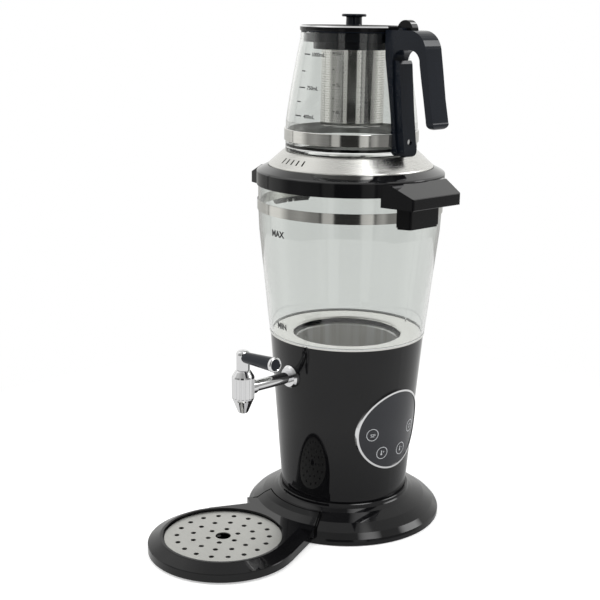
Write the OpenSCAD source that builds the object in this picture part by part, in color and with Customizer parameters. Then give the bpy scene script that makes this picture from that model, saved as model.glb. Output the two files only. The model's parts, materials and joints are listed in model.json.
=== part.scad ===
// Electric samovar: glass vessel on a heated base, with a tap, a drip tray and a glass teapot on top.
// Origin on the body axis at the resting plane, +Z up, tap and tray toward -Y, touch panel toward +X.

/* [Foot and base] */
// Radius of the foot at its rim
foot_r = 104; // [100:0.5:108]
// Thickness of the foot skirt
foot_wall = 3; // [2.5:0.1:3.4]
// Height of the collar that holds the body shell
collar_top_z = 31.5; // [30.5:0.1:33]
// Height of the gap under the foot's rim
rim_gap = 0.8; // [0.4:0.1:1.2]
// Thickness of the base plate
base_plate_t = 3; // [2:0.1:3]
// Thickness of the rubber ring
rubber_t = 2.6; // [2.2:0.1:3]

/* [Body shell] */
// Outer radius of the shell at the collar
shell_bottom_r = 67.5; // [66.8:0.1:67.8]
// Outer radius of the shell at its top
shell_top_r = 81.2; // [80.6:0.1:81.4]
// Wall thickness of the shell
shell_wall = 2.5; // [2:0.1:3]
// Height of the shell's top edge
shell_top_z = 201; // [200.5:0.1:201]

/* [Heating well] */
// Inner radius of the well
well_r = 54; // [52:0.5:54.5]
// Height of the well's floor
well_floor_z = 150; // [149:0.5:153]
// Thickness of the steel sheet
sheet_t = 0.8; // [0.6:0.1:1]
// Radius of the opening in the deck
deck_hole_r = 56.3; // [55.5:0.1:57]

/* [Touch panel] */
// Height of the panel's centre
panel_z = 110.5; // [106:0.5:114]
// Outer radius of the chrome ring
panel_r = 43.2; // [41:0.2:45]
// Width of the chrome ring
panel_ring_w = 1.9; // [1.4:0.1:2.4]
// How far the chrome ring stands out of the shell
panel_ring_h = 2.2; // [1.9:0.1:2.6]
// How far the panel glass stands out of the shell
panel_glass_h = 1.6; // [1.2:0.1:1.8]

/* [Glass vessel] */
// Outer radius of the vessel's glass at its top
vessel_r = 94.9; // [92:0.1:98]
// Height of the vessel's glass
vessel_h = 157.4; // [140:0.5:180]
// Wall thickness of the vessel
vessel_wall = 2.6; // [2:0.1:3]
// How far the steel band's top lies below the vessel's top edge
band_drop = 18.6; // [16:0.2:22]
// Width of the steel band
band_w = 10.3; // [8:0.1:12]
// Thickness of the steel band
band_t = 0.7; // [0.5:0.1:0.8]

/* [Side grips and ledges] */
// How far a grip stands out of the vessel
grip_out = 10.3; // [9.5:0.1:13]
// Height of a grip
grip_h = 22; // [20:0.5:24]
// How far a ledge stands out of the collar ring
ledge_out = 23.6; // [20:0.2:27]
// Half width of a ledge at its outer edge
ledge_half_w = 34.2; // [30:0.2:36]

/* [Vessel lid] */
// Width of the collar ring outside the dome
collar_w = 12; // [11.5:0.1:13]
// Height of the dome above its seat in the collar ring
dome_h = 17; // [14:0.5:22]
// Number of steam slots in the dome
slot_count = 5; // [3:1:7]

/* [Teapot] */
// Height of the teapot's glass
teapot_h = 117.7; // [110:0.1:130]
// Wall thickness of the teapot's glass
teapot_wall = 2.4; // [2:0.1:2.8]
// Width of the handle
handle_w = 22; // [18:0.5:24]
// Width of the strap on the handle's inner leg
strap_w = 17.5; // [14:0.5:17.5]
// Radius of the infuser basket
infuser_r = 32; // [28:0.5:32]
// Height of the infuser basket
infuser_h = 84.4; // [60:1:90]

/* [Teapot lid] */
// Radius of the lid disc
lid_r = 54; // [53.5:0.1:54.4]
// Radius of the knob
knob_r = 12.3; // [10:0.1:14]
// Thickness of the lid disc
lid_t = 5.1; // [4:0.1:6]
// Height of the knob above the lid disc
knob_h = 11.2; // [9:0.2:16]
// Radius of the hinge barrel
barrel_r = 10.3; // [9:0.1:10.5]
// Width of the hinge barrel
barrel_w = 8; // [6:0.5:9]

/* [Tap] */
// Distance of the tap's own axis from the body axis
tap_y = 141.6; // [138:0.2:146]
// Height of the tap's pipe
tap_z = 165.2; // [163:0.2:167]
// Radius of the tap's body
tap_r = 11.4; // [10.5:0.1:12]
// Radius of the pipe
pipe_r = 6; // [5.4:0.1:6.4]
// Length of the lever from the tap's axis
lever_l = 50; // [40:1:52]
// Rise of the lever in degrees
lever_rise = 4; // [0:0.5:6]
// Number of grooves in the tap's body
groove_count = 18; // [12:1:20]

/* [Drip tray] */
// Distance of the tray's centre from the body axis
tray_y = 167.4; // [165:0.2:170]
// Outer radius of the tray
tray_r = 75.8; // [74:0.2:78]
// Height of the tray's outer wall
tray_wall_z = 10.4; // [9:0.1:11.5]
// Height of the tray's inner rim
tray_rim_z = 17; // [16.4:0.1:18]
// Radius of the drip plate
plate_r = 59.5; // [58:0.1:60]
// Thickness of the drip plate
plate_t = 1.4; // [1:0.1:1.6]
// Radius of the drip plate's holes
plate_hole_r = 2.6; // [1.8:0.1:3]
// Radius of the finger hole
finger_hole_r = 7.7; // [6:0.1:9]

/* [Hidden] */
$fn = 96;
slide_gap = 0.3;
seat_gap = 0.05;
screw_r = 1.45;
screw_bore_r = 1.5;
screw_head_r = 3;
cut = 1;
black = "#141518";
steel = "#b9b9b4";
chrome = "#d8dadd";
clear_glass = [0.85, 0.92, 0.92, 0.35];
rubber = "#26262a";

// Profile points of the foot, from the rim up to the collar
collar_ring_r = shell_bottom_r + 3;
foot_hub_r = collar_ring_r + 1;
function foot_share(k) = foot_hub_r + k * (foot_r - foot_hub_r);
foot_points = [[foot_r, 5], [foot_r - 1, 7], [foot_r - 6, 12.3], [foot_share(33 / 65), 19],
    [foot_share(9 / 65), 24.5], [foot_hub_r, 27]];
foot_heights = [for (i = [len(foot_points) - 1:-1:0]) foot_points[i]];
function foot_height(r) = lookup(r, foot_heights);
foot_flange_z = 24.5;
foot_flange_t = 3;
base_screw_at = foot_r - 20;
shell_screw_at = shell_bottom_r - 6;
base_top_z = rubber_t + base_plate_t;
boss_top_z = foot_height(base_screw_at) - foot_wall + 0.2;
shell_foot_z = foot_flange_z + foot_flange_t + 0.1;
wall_foot_z = shell_foot_z + 0.4;
shell_slope = (shell_top_r - shell_bottom_r) / (shell_top_z - collar_top_z);
function shell_r(z) = shell_bottom_r + (z - collar_top_z) * shell_slope;

deck_rise = 1.6;
deck_top_z = shell_top_z + deck_rise;
deck_t = 1.2;
gasket_top_z = deck_top_z - 3;
gasket_bottom_z = gasket_top_z - 6.4;
gasket_r = 64;
deck_r = shell_top_r + 0.8;
heater_t = 6;
heater_top_z = well_floor_z - sheet_t;
element_r = 34;
element_tube_r = 3.6;

seal_t = 1;
vessel_bottom_z = deck_top_z + seal_t;
vessel_top_z = vessel_bottom_z + vessel_h;
band_top_z = vessel_top_z - band_drop;
band_z = band_top_z - band_w;
band_inner_r = vessel_r + 0.1;
collar_r = vessel_r + 1.7;
ledge_x = collar_r + ledge_out;
grip_x = vessel_r + grip_out;
ledge_z = vessel_top_z - 12.5;
grip_top_z = ledge_z - 0.1;
grip_z = grip_top_z - grip_h;
lug_z = band_z + 4;
lug_t = 2;
grip_screw_x = vessel_r + 3.5;
grip_screw_y = 4.5;

gasket_t = 3.2;
collar_bottom_z = vessel_top_z - 3.3;
collar_seat_z = vessel_top_z + gasket_t;
collar_ledge_z = collar_seat_z + 11.3;
dome_r = collar_r - collar_w;
collar_inner_r = dome_r - 4.6;
liner_r = collar_inner_r - 0.1;
pipe_hole_r = 45.3;
dome_side_z = collar_ledge_z + 2.8;
dome_top_z = collar_ledge_z + dome_h;
pipe_top_z = dome_top_z - 1.3;

neck_top_z = dome_top_z + teapot_h;
neck_r = 53.1;
teapot_r = 67.2;
lid_bottom_z = neck_top_z + 1.2;
lid_top_z = lid_bottom_z + lid_t;
knob_top_z = lid_top_z + knob_h;
knob_neck_r = knob_r - 4.4;
handle_top_z = lid_bottom_z + 2.1;
handle_foot_z = dome_top_z + 0.9;
handle_screw_z = dome_top_z + 15.1;
handle_screw_x = 78.4;
handle_end_z = handle_top_z - 90.6;
teapot_band_z = dome_top_z + 10.3;
teapot_band_top_z = teapot_band_z + 12;
teapot_band_r = teapot_r + 1.4;
hinge_x = 73.6;
hinge_z = lid_bottom_z + 1.3;
cheek_r = 3.2;
hinge_pin_r = 1.5;
pin_fit = 0.05;
infuser_seat_z = neck_top_z - 7.8;
infuser_floor_z = infuser_seat_z - infuser_h;
infuser_flange_r = infuser_r + 3.5;
collar_skirt_z = infuser_seat_z - 8.9;
collar_step_z = infuser_seat_z - 2;
collar_bore_r = infuser_r + 7.6;
neck_bore_r = neck_r - teapot_wall;
plug_r = collar_bore_r - 0.9;
plug_bottom_z = infuser_seat_z + 2.1;
basket_t = 0.5;

tap_root_y = shell_r(tap_z);
stem_seat_z = tap_z + 20.2;
stem_r = 6.7;
stem_top_z = stem_seat_z + 20.4;
spindle_r = 5;
valve_r = 3.3;
valve_bottom_z = tap_z - 6;
spindle_bottom_z = tap_z + 6;
lever_z = stem_seat_z + 13.1;
lever_end_l = 4;
lever_end_r = 7.4;
spigot_r = 5.55;

tray_foot_z = 0.4;
tray_bottom_z = 2;
plate_seat_z = tray_rim_z - 4;
rim_land_w = 3.3;
rim_r = plate_r + 1.2 + rim_land_w;
tray_clear = 0.45;
neck_half_angle = 28;
saddle_half_angle = 30;
saddle_inner_r = foot_share(17 / 65);
saddle_t = 3.1;
neck_x = (foot_r + 0.6) * sin(neck_half_angle);
neck_y = (foot_r + 0.6) * cos(neck_half_angle);

board_z = 16;
board_t = 1.6;
board_x = 80;
board_y = 60;
control_x = 54.2;
board_top_z = board_z + board_t;
pillar_places = [for (x = [-1, 1], y = [-1, 1]) [x * (board_x / 2 - 6), y * (board_y / 2 - 6)]];
terminal_top_z = board_top_z + 9;
ribbon_z = board_top_z + 6;
inlet_z = 55;
inlet_face_y = shell_r(inlet_z) + 1.8;
inlet_back_y = 50;
inlet_floor_y = 53;
inlet_screw_x = 20;
pin_w = 2;
pin_h = 4;
pin_end_y = 46;
pin_places = [[-7, -2], [0, 2.5], [7, -2]];
element_leg_z = heater_top_z - heater_t - element_tube_r - 14;
element_legs = [160, 200];

// Points of an arc from angle a0 to a1
function arc(cx, cy, r, a0, a1, n = 8) =
    [for (i = [0:n]) [cx + r * cos(a0 + (a1 - a0) * i / n), cy + r * sin(a0 + (a1 - a0) * i / n)]];

module ring(r_out, r_in, z0, z1) {
    rotate_extrude()
        polygon([[r_in, z0], [r_out, z0], [r_out, z1], [r_in, z1]]);
}

module spin(points) {
    rotate_extrude()
        polygon(points);
}

// Copies around the axis
module around(count, phase = 0) {
    for (i = [0:count - 1])
        rotate(phase + i * 360 / count)
            children();
}

// Cylinder from x0 to x1 along X
module along_x(r, x0, x1, y = 0, z = 0, r2 = -1) {
    translate([x0, y, z])
        rotate([0, 90, 0])
            cylinder(h = x1 - x0, r1 = r, r2 = r2 < 0 ? r : r2);
}

// Cylinder from y0 to y1 along Y
module along_y(r, y0, y1, x = 0, z = 0, r2 = -1) {
    translate([x, y0, z])
        rotate([-90, 0, 0])
            cylinder(h = y1 - y0, r1 = r, r2 = r2 < 0 ? r : r2);
}

// Outline in the XZ plane, extruded along Y and centred
module side_cut(points, w) {
    rotate([90, 0, 0])
        translate([0, 0, -w / 2])
            linear_extrude(w)
                polygon(points);
}

// Screw with a flat head below, pointing up from z
module screw_up(z, head_t, length) {
    translate([0, 0, z])
        cylinder(h = head_t, r = screw_head_r, $fn = 24);
    translate([0, 0, z])
        cylinder(h = length, r = screw_r, $fn = 24);
}

// Solid cone that follows the shell's outside, grown by d
module shell_solid(d, z0, z1) {
    translate([0, 0, z0])
        cylinder(h = z1 - z0, r1 = shell_r(z0) + d, r2 = shell_r(z1) + d);
}

module foot_skirt() {
    color(black)
        difference() {
            union() {
                spin(concat([[foot_r, rim_gap]], foot_points, [
                    [collar_ring_r, 28.2], [collar_ring_r, collar_top_z - 0.6],
                    [collar_ring_r - 0.6, collar_top_z], [shell_bottom_r + 0.5, collar_top_z],
                    [shell_bottom_r + 0.5, foot_flange_z + foot_flange_t],
                    [shell_bottom_r - 10.5, foot_flange_z + foot_flange_t],
                    [shell_bottom_r - 10.5, foot_flange_z],
                    [foot_hub_r - 2, foot_flange_z], [foot_points[4][0] - 1, 24.5 - foot_wall],
                    [foot_points[3][0] - 1, 19 - foot_wall],
                    [foot_r - 7.6, 12.3 - foot_wall], [foot_r - 3.4, 5.5],
                    [foot_r - 3.4, rim_gap]]));
                around(4, 45)
                    translate([base_screw_at, 0, base_top_z])
                        cylinder(h = boss_top_z - base_top_z, r = 4);
            }
            around(4, 45)
                translate([base_screw_at, 0, base_top_z - cut])
                    cylinder(h = 10, r = screw_bore_r);
            around(3, 60)
                translate([shell_screw_at, 0, foot_flange_z - cut])
                    cylinder(h = foot_flange_t + 2 * cut, r = screw_bore_r);
        }
}

module base_plate() {
    color(black)
        difference() {
            union() {
                ring(foot_r - 3.8, 0, rubber_t, base_top_z);
                for (p = pillar_places)
                    translate([p[0], p[1], base_top_z - 0.1])
                        cylinder(h = board_z - base_top_z + 0.1, r = 3.5);
            }
            around(4, 45)
                translate([base_screw_at, 0, 0])
                    cylinder(h = 10, r = screw_bore_r);
            for (p = pillar_places)
                translate([p[0], p[1], 8])
                    cylinder(h = 10, r = screw_bore_r);
            for (x = [-36:12:36])
                translate([x - 1.5, 52, 0])
                    cube([3, 14, 10]);
        }
}

module rubber_ring() {
    color(rubber)
        spin([
            [foot_r - 13.5, 0], [foot_r - 7, 0], [foot_r - 6.5, 0.5], [foot_r - 6.5, rubber_t],
            [foot_r - 14, rubber_t], [foot_r - 14, 0.5]]);
}

module base_screws() {
    color(steel)
        around(4, 45)
            translate([base_screw_at, 0, 0])
                screw_up(0.8, rubber_t - 0.8, 12);
}

module body_shell() {
    color(black)
        difference() {
            union() {
                spin([
                    [shell_r(wall_foot_z), wall_foot_z], [shell_top_r, shell_top_z],
                    [deck_r - 4.5, shell_top_z], [deck_r - 4.5, shell_top_z - 2.4],
                    [shell_top_r - shell_wall - 0.2, shell_top_z - 2.4],
                    [shell_r(wall_foot_z) - shell_wall, wall_foot_z]]);
                around(3, 60)
                    translate([shell_screw_at, 0, shell_foot_z])
                        cylinder(h = 18, r = 4);
            }
            around(3, 60)
                translate([shell_screw_at, 0, shell_foot_z - cut])
                    cylinder(h = 15, r = screw_bore_r);
            along_x(panel_r - panel_ring_w - 1.3, 40, 100, 0, panel_z);
            along_y(pipe_r + 0.6, -100, -60, 0, tap_z);
            translate([-15.7, 50, inlet_z - 10.7])
                cube([31.4, 40, 21.4]);
            for (x = [-inlet_screw_x, inlet_screw_x])
                along_y(screw_bore_r, 50, 80, x, inlet_z);
        }
}

module shell_screws() {
    color(steel)
        around(3, 60)
            translate([shell_screw_at, 0, 0])
                screw_up(foot_flange_z - 2, 2, 16);
}

module well_deck() {
    color(steel)
        spin([
            [deck_r, shell_top_z + 0.2], [deck_r, deck_top_z], [deck_r - 1.8, deck_top_z],
            [deck_r - 2.8, deck_top_z - 0.2], [deck_hole_r + 3.7, deck_top_z - 1.7],
            [deck_hole_r + 1.7, deck_top_z - 2.1], [deck_hole_r + 0.5, deck_top_z - 2.8],
            [deck_hole_r, deck_top_z - 3.7], [deck_hole_r + 1, deck_top_z - 4.1],
            [deck_hole_r + 2, deck_top_z - 3.4], [deck_hole_r + 3.7, deck_top_z - 1.7 - deck_t],
            [deck_r - 2.8, shell_top_z + 0.2]]);
}

module well_gasket() {
    color(rubber)
        ring(gasket_r, gasket_r - 4, gasket_bottom_z, gasket_top_z);
}

module heating_well() {
    outer = well_r + sheet_t;
    color(steel)
        difference() {
            spin([
                [0, well_floor_z - sheet_t], [outer - 4, well_floor_z - sheet_t], [outer, well_floor_z + 3],
                [outer, gasket_bottom_z - 2], [outer + 0.8, gasket_bottom_z - sheet_t],
                [gasket_r, gasket_bottom_z - sheet_t], [gasket_r, gasket_bottom_z],
                [well_r + 1, gasket_bottom_z],
                [well_r, gasket_bottom_z - 1.4], [well_r, well_floor_z + 3.4],
                [well_r - 3.4, well_floor_z], [0, well_floor_z]]);
            along_y(4, -60, -40, 0, tap_z);
        }
}

module heater_plate() {
    color("#9a9c9e")
        difference() {
            ring(well_r - 4, 0, heater_top_z - heater_t, heater_top_z);
            translate([0, 0, heater_top_z - heater_t - cut])
                cylinder(h = 4, r = 6.1);
        }
}

module heater_element() {
    z = heater_top_z - heater_t - element_tube_r;
    color("#5d5f62")
        difference() {
            union() {
                rotate([0, 0, 200])
                    rotate_extrude(angle = 320)
                        translate([element_r, z])
                            circle(r = element_tube_r, $fn = 24);
                for (a = element_legs)
                    rotate(a)
                        translate([element_r, 0, element_leg_z])
                            cylinder(h = 14, r = element_tube_r, $fn = 24);
            }
            translate([0, 0, heater_top_z - heater_t])
                cylinder(h = 10, r = 60);
        }
}

module temperature_probe() {
    color("#c8b26a")
        translate([0, 0, heater_top_z - heater_t - 14])
            cylinder(h = 17, r = 6);
}

module thermal_cutout() {
    color("#d9d4c6") {
        translate([18, -8, heater_top_z - heater_t - 9])
            cylinder(h = 9, r = 8);
        translate([16, -20, heater_top_z - heater_t - 6])
            cube([4, 24, 1]);
    }
}

module power_board() {
    color("#2e6b3c")
        difference() {
            translate([-board_x / 2, -board_y / 2, board_z])
                cube([board_x, board_y, board_t]);
            for (p = pillar_places)
                translate([p[0], p[1], board_z - cut])
                    cylinder(h = 4, r = screw_bore_r);
        }
}

module board_screws() {
    color(steel)
        for (p = pillar_places)
            translate([p[0], p[1], board_top_z + 1.6])
                mirror([0, 0, 1])
                    screw_up(0, 1.6, 10);
}

module board_relay() {
    color("#2a5fa0")
        translate([-8, -28, board_top_z])
            cube([19, 15.5, 16]);
}

module board_transformer() {
    color("#d8b13a") {
        translate([-10, -8, board_top_z])
            cube([30, 26, 20]);
        translate([-6, -11, board_top_z + 2])
            cube([22, 32, 16]);
    }
}

module terminal_blocks() {
    color("#e4e6e2") {
        translate([-9.5, 24.5, board_top_z])
            cube([19, 5, terminal_top_z - board_top_z]);
        translate([-37, -14, board_top_z])
            cube([12, 28, terminal_top_z - board_top_z]);
        translate([31, -8, board_top_z])
            cube([7, 16, ribbon_z - board_top_z]);
    }
}

module control_board() {
    color("#2e6b3c") {
        translate([control_x, -30, panel_z - 28])
            cube([board_t, 60, 56]);
        for (y = [-20, -8, 8, 20])
            along_x(3, control_x + board_t, control_x + board_t + 5, y, panel_z - 14);
        translate([control_x - 2, -6, panel_z - 6])
            cube([2, 12, 12]);
    }
}

module ribbon_cable() {
    color("#c9cacc") {
        translate([control_x - 5, -6, panel_z - 24])
            cube([5, 12, 0.8]);
        translate([control_x - 5, -6, ribbon_z])
            cube([0.8, 12, panel_z - 24 - ribbon_z + 0.8]);
        translate([33, -6, ribbon_z])
            cube([control_x - 38 + 0.8, 12, 0.8]);
    }
}

module panel_holder() {
    color(black)
        intersection() {
            difference() {
                along_x(panel_r - panel_ring_w - 1.5, control_x + board_t, 90, 0, panel_z);
                along_x(panel_r - panel_ring_w - 4, control_x, 92, 0, panel_z);
            }
            shell_solid(-seat_gap, 40, 180);
        }
}

// Keeps what lies between the shell's outside and an offset d above it
module on_shell(d) {
    difference() {
        intersection() {
            children();
            shell_solid(d, panel_z - 60, panel_z + 60);
        }
        shell_solid(0.02, panel_z - 61, panel_z + 61);
    }
}

module panel_ring() {
    color(chrome)
        on_shell(panel_ring_h)
            difference() {
                along_x(panel_r, 30, 100, 0, panel_z);
                along_x(panel_r - panel_ring_w, 20, 110, 0, panel_z);
            }
}

module panel_glass() {
    color("#1b1c20")
        on_shell(panel_glass_h)
            along_x(panel_r - panel_ring_w - seat_gap, 30, 100, 0, panel_z);
}

module power_inlet() {
    color(black)
        difference() {
            union() {
                difference() {
                    translate([-24, 58, inlet_z - 13])
                        cube([48, inlet_face_y - 58, 26]);
                    shell_solid(0.02, 20, 100);
                }
                translate([-15.5, inlet_back_y, inlet_z - 10.5])
                    cube([31, inlet_face_y - inlet_back_y, 21]);
            }
            translate([-12, inlet_floor_y, inlet_z - 8])
                cube([24, 30, 16]);
            for (x = [-inlet_screw_x, inlet_screw_x])
                along_y(screw_bore_r, 50, 80, x, inlet_z);
            for (p = pin_places)
                inlet_pin(p, seat_gap);
        }
}

// Flat pin at a place in the inlet's face, grown by d on its long sides
module inlet_pin(p, d) {
    translate([p[0] - pin_w / 2 - d, pin_end_y, inlet_z + p[1] - pin_h / 2 - d])
        cube([pin_w + 2 * d, 20, pin_h + 2 * d]);
}

module inlet_pins() {
    color("#c8b26a")
        for (p = pin_places)
            inlet_pin(p, 0);
}

module inlet_screws() {
    color(steel)
        for (x = [-inlet_screw_x, inlet_screw_x]) {
            along_y(screw_r, 58, inlet_face_y, x, inlet_z);
            along_y(screw_head_r, inlet_face_y, inlet_face_y + 1.6, x, inlet_z);
        }
}

// Round lead that runs along -Y and bends down
module lead(x, y0, y1, z0, z1, r) {
    bend = 6;
    translate([x, y1 + bend, z0])
        rotate([-90, 0, 0])
            cylinder(h = y0 - y1 - bend, r = r, $fn = 24);
    translate([x, y1 + bend, z0 - bend])
        rotate([90, 0, -90])
            rotate_extrude(angle = 90)
                translate([bend, 0])
                    circle(r = r, $fn = 24);
    translate([x, y1, z1])
        cylinder(h = z0 - bend - z1, r = r, $fn = 24);
}

module mains_leads() {
    color("#7a4a2a")
        for (p = pin_places)
            lead(p[0], pin_end_y, 27, inlet_z + p[1], terminal_top_z, 1.3);
}

module heater_leads() {
    color("#b8332a")
        for (a = element_legs)
            rotate(a)
                translate([element_r, 0, terminal_top_z])
                    cylinder(h = element_leg_z - terminal_top_z, r = 1.6, $fn = 24);
}

module tap_flange() {
    color(chrome)
        difference() {
            union() {
                along_y(tap_r - 1.4, -tap_root_y - 4.7, -tap_root_y - 2.2, 0, tap_z, tap_r + 0.4);
                along_y(tap_r + 0.4, -tap_root_y - 2.2, -tap_root_y + 8.3, 0, tap_z);
            }
            shell_solid(0.02, 120, 200);
            along_y(pipe_r + seat_gap, -90, -60, 0, tap_z);
        }
}

module tap_pipe() {
    color(chrome)
        difference() {
            along_y(pipe_r, -tap_y + 14, -40, 0, tap_z);
            along_y(4, -tap_y, -30, 0, tap_z);
            translate([0, 0, tap_z - 20])
                cylinder(h = 40, r = well_r + sheet_t + 0.02);
        }
}

module tap_washer() {
    color(rubber)
        difference() {
            along_y(10, -tap_root_y + 3.8, -tap_root_y + 5.4, 0, tap_z);
            along_y(pipe_r + seat_gap, -80, -60, 0, tap_z);
        }
}

module tap_nut() {
    color("#c8b26a")
        difference() {
            translate([0, -tap_root_y + 5.4, tap_z])
                rotate([-90, 0, 0])
                    cylinder(h = 5, r = 11, $fn = 6);
            along_y(pipe_r + seat_gap, -80, -60, 0, tap_z);
        }
}

module tap_body() {
    color(chrome)
        difference() {
            union() {
                translate([0, -tap_y, 0])
                    spin([
                        [0, tap_z - 24.2], [4.6, tap_z - 24.2], [5.2, tap_z - 23.6],
                        [tap_r - 1.2, tap_z - 11.4], [tap_r - 0.3, tap_z - 9.6], [tap_r, tap_z - 8],
                        [tap_r, tap_z + 12.6], [tap_r - 0.6, tap_z + 14.2], [8, tap_z + 18.6],
                        [7, tap_z + 19.8],
                        [6.4, stem_seat_z - 0.1], [0, stem_seat_z - 0.1]]);
                along_y(7.4, -tap_y, -tap_y + 14, 0, tap_z);
            }
            translate([0, -tap_y, 0]) {
                for (i = [0:groove_count - 1])
                    if (abs(i * 360 / groove_count - 90) > 45)
                        rotate(i * 360 / groove_count)
                            translate([tap_r + 0.7, 0, tap_z - 8.5])
                                cylinder(h = 20.5, r = 1.5, $fn = 24);
                translate([0, 0, spindle_bottom_z])
                    cylinder(h = 30, r = spindle_r + pin_fit);
                translate([0, 0, tap_z - 30])
                    cylinder(h = 50, r = valve_r + 0.1);
            }
            along_y(4, -tap_y, -100, 0, tap_z);
        }
}

// Outer profile of the vessel's glass from the bottom up: shares of its widening and of its height
vessel_points = [for (p = [[0, 0], [0.1705, 0.117], [0.4496, 0.339], [0.721, 0.549], [0.907, 0.689],
    [0.9767, 0.803], [1, 0.898]]) [deck_r + p[0] * (vessel_r - deck_r), vessel_bottom_z + p[1] * vessel_h]];

module glass_vessel() {
    color(clear_glass)
        spin(concat(vessel_points, [
            [vessel_r, vessel_top_z - 0.6], [vessel_r - 0.6, vessel_top_z],
            [vessel_r - vessel_wall + 0.6, vessel_top_z], [vessel_r - vessel_wall, vessel_top_z - 0.6]],
            [for (i = [len(vessel_points) - 1:-1:0]) vessel_points[i] - [vessel_wall, 0]]));
}

module vessel_seal() {
    color("#cfd3d2")
        ring(vessel_points[0][0] - 0.2, vessel_points[0][0] - vessel_wall + 0.2, deck_top_z, vessel_bottom_z);
}

module vessel_band() {
    color(steel) {
        ring(band_inner_r + band_t, band_inner_r, band_z, band_top_z);
        for (s = [0, 1])
            mirror([s, 0, 0])
                difference() {
                    translate([vessel_r - 4.9, -8, lug_z])
                        cube([11, 16, lug_t]);
                    translate([0, 0, lug_z - cut])
                        cylinder(h = 10, r = band_inner_r + band_t / 2);
                    for (y = [-grip_screw_y, grip_screw_y])
                        translate([grip_screw_x, y, lug_z - cut])
                            cylinder(h = 10, r = screw_bore_r);
                }
    }
}

// Plan of a block that narrows outward, with round outer corners of radius c
function block_plan(x0, w0, x1, w1, c) = concat(
    [[x0, -w0]], arc(x1 - c, -w1 + c, c, -70, 0, 6), arc(x1 - c, w1 - c, c, 0, 70, 6), [[x0, w0]]);

module side_grip() {
    color(black)
        difference() {
            union() {
                translate([0, 0, grip_z + 2])
                    linear_extrude(grip_top_z - grip_z - 2)
                        polygon(block_plan(vessel_r - 10.9, 30, grip_x, 21.2, 3));
                translate([0, 0, grip_z])
                    linear_extrude(3)
                        polygon(block_plan(vessel_r - 10.9, 29, grip_x - 0.8, 20.4, 3));
            }
            translate([0, 0, grip_z - cut])
                cylinder(h = 40, r = band_inner_r + band_t + seat_gap);
            translate([vessel_r - 4.9, -8.3, lug_z - 0.2])
                cube([11.4, 16.6, lug_t + 0.4]);
            for (y = [-grip_screw_y, grip_screw_y]) {
                translate([grip_screw_x, y, grip_z - cut])
                    cylinder(h = 17, r = screw_bore_r);
                translate([grip_screw_x, y, grip_z - cut])
                    cylinder(h = 3 + cut, r = screw_head_r + 0.1);
            }
        }
}

module side_grip_right() {
    side_grip();
}

module side_grip_left() {
    mirror([1, 0, 0])
        side_grip();
}

module grip_screws() {
    color(steel)
        for (s = [0, 1], y = [-grip_screw_y, grip_screw_y])
            mirror([s, 0, 0])
                translate([grip_screw_x, y, 0])
                    screw_up(grip_z + 1, 2, 14);
}

module ledge() {
    root_x = collar_r - 16.6;
    slope_z = ledge_z + 22.1;
    difference() {
        intersection() {
            translate([0, 0, ledge_z])
                linear_extrude(30)
                    polygon(block_plan(root_x, 43.4, ledge_x, ledge_half_w, 2.4));
            side_cut([[root_x - 10, ledge_z], [ledge_x - 0.6, ledge_z], [ledge_x, ledge_z + 0.6],
                [ledge_x, ledge_z + 10.7], [ledge_x - 0.8, ledge_z + 11.4], [collar_r - 1, slope_z],
                [root_x - 10, slope_z]], 120);
        }
        intersection() {
            translate([0, 0, ledge_z - cut])
                linear_extrude(30)
                    polygon(block_plan(root_x, 40.4, ledge_x - 2.6, ledge_half_w - 2.6, 2));
            side_cut([[root_x - 10, ledge_z - 40], [ledge_x, ledge_z - 40], [ledge_x, ledge_z + 8.1],
                [collar_r - 1, slope_z - 3.3], [root_x - 10, slope_z - 3.3]], 120);
            ring(ledge_x + 20, collar_r, ledge_z - 40, ledge_z + 60);
        }
        translate([0, 0, ledge_z - cut])
            cylinder(h = 40, r = collar_r - 1.3);
    }
}

module collar_ring() {
    color(black) {
        spin([
            [collar_inner_r, collar_seat_z], [collar_r - 1.3, collar_seat_z],
            [collar_r - 1.3, collar_bottom_z], [collar_r, collar_bottom_z],
            [collar_r, collar_ledge_z - 4.3], [collar_r - 0.4, collar_ledge_z - 3.4],
            [collar_r - 1.4, collar_ledge_z - 2.6], [dome_r + 0.9, collar_ledge_z + 2.1],
            [dome_r + 0.3, collar_ledge_z + 1.8], [dome_r + 0.3, collar_ledge_z],
            [collar_inner_r, collar_ledge_z], [collar_inner_r, collar_ledge_z - 2.2],
            [dome_r + 0.9, collar_ledge_z - 2.2], [collar_r - 3.2, collar_ledge_z - 5.5],
            [collar_r - 3.2, collar_seat_z + 2.5], [collar_inner_r, collar_seat_z + 2.5]]);
        ledge();
        mirror([1, 0, 0])
            ledge();
    }
}

module lid_gasket() {
    color("#cfd3d2")
        ring(vessel_r - 0.1, vessel_r - 4.4, vessel_top_z, collar_seat_z);
}

module lid_liner() {
    color(steel)
        spin([
            [pipe_hole_r, collar_seat_z], [liner_r, collar_seat_z], [liner_r, collar_seat_z + sheet_t],
            [pipe_hole_r + sheet_t, collar_seat_z + sheet_t], [pipe_hole_r + sheet_t, pipe_top_z],
            [pipe_hole_r, pipe_top_z]]);
}

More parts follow.
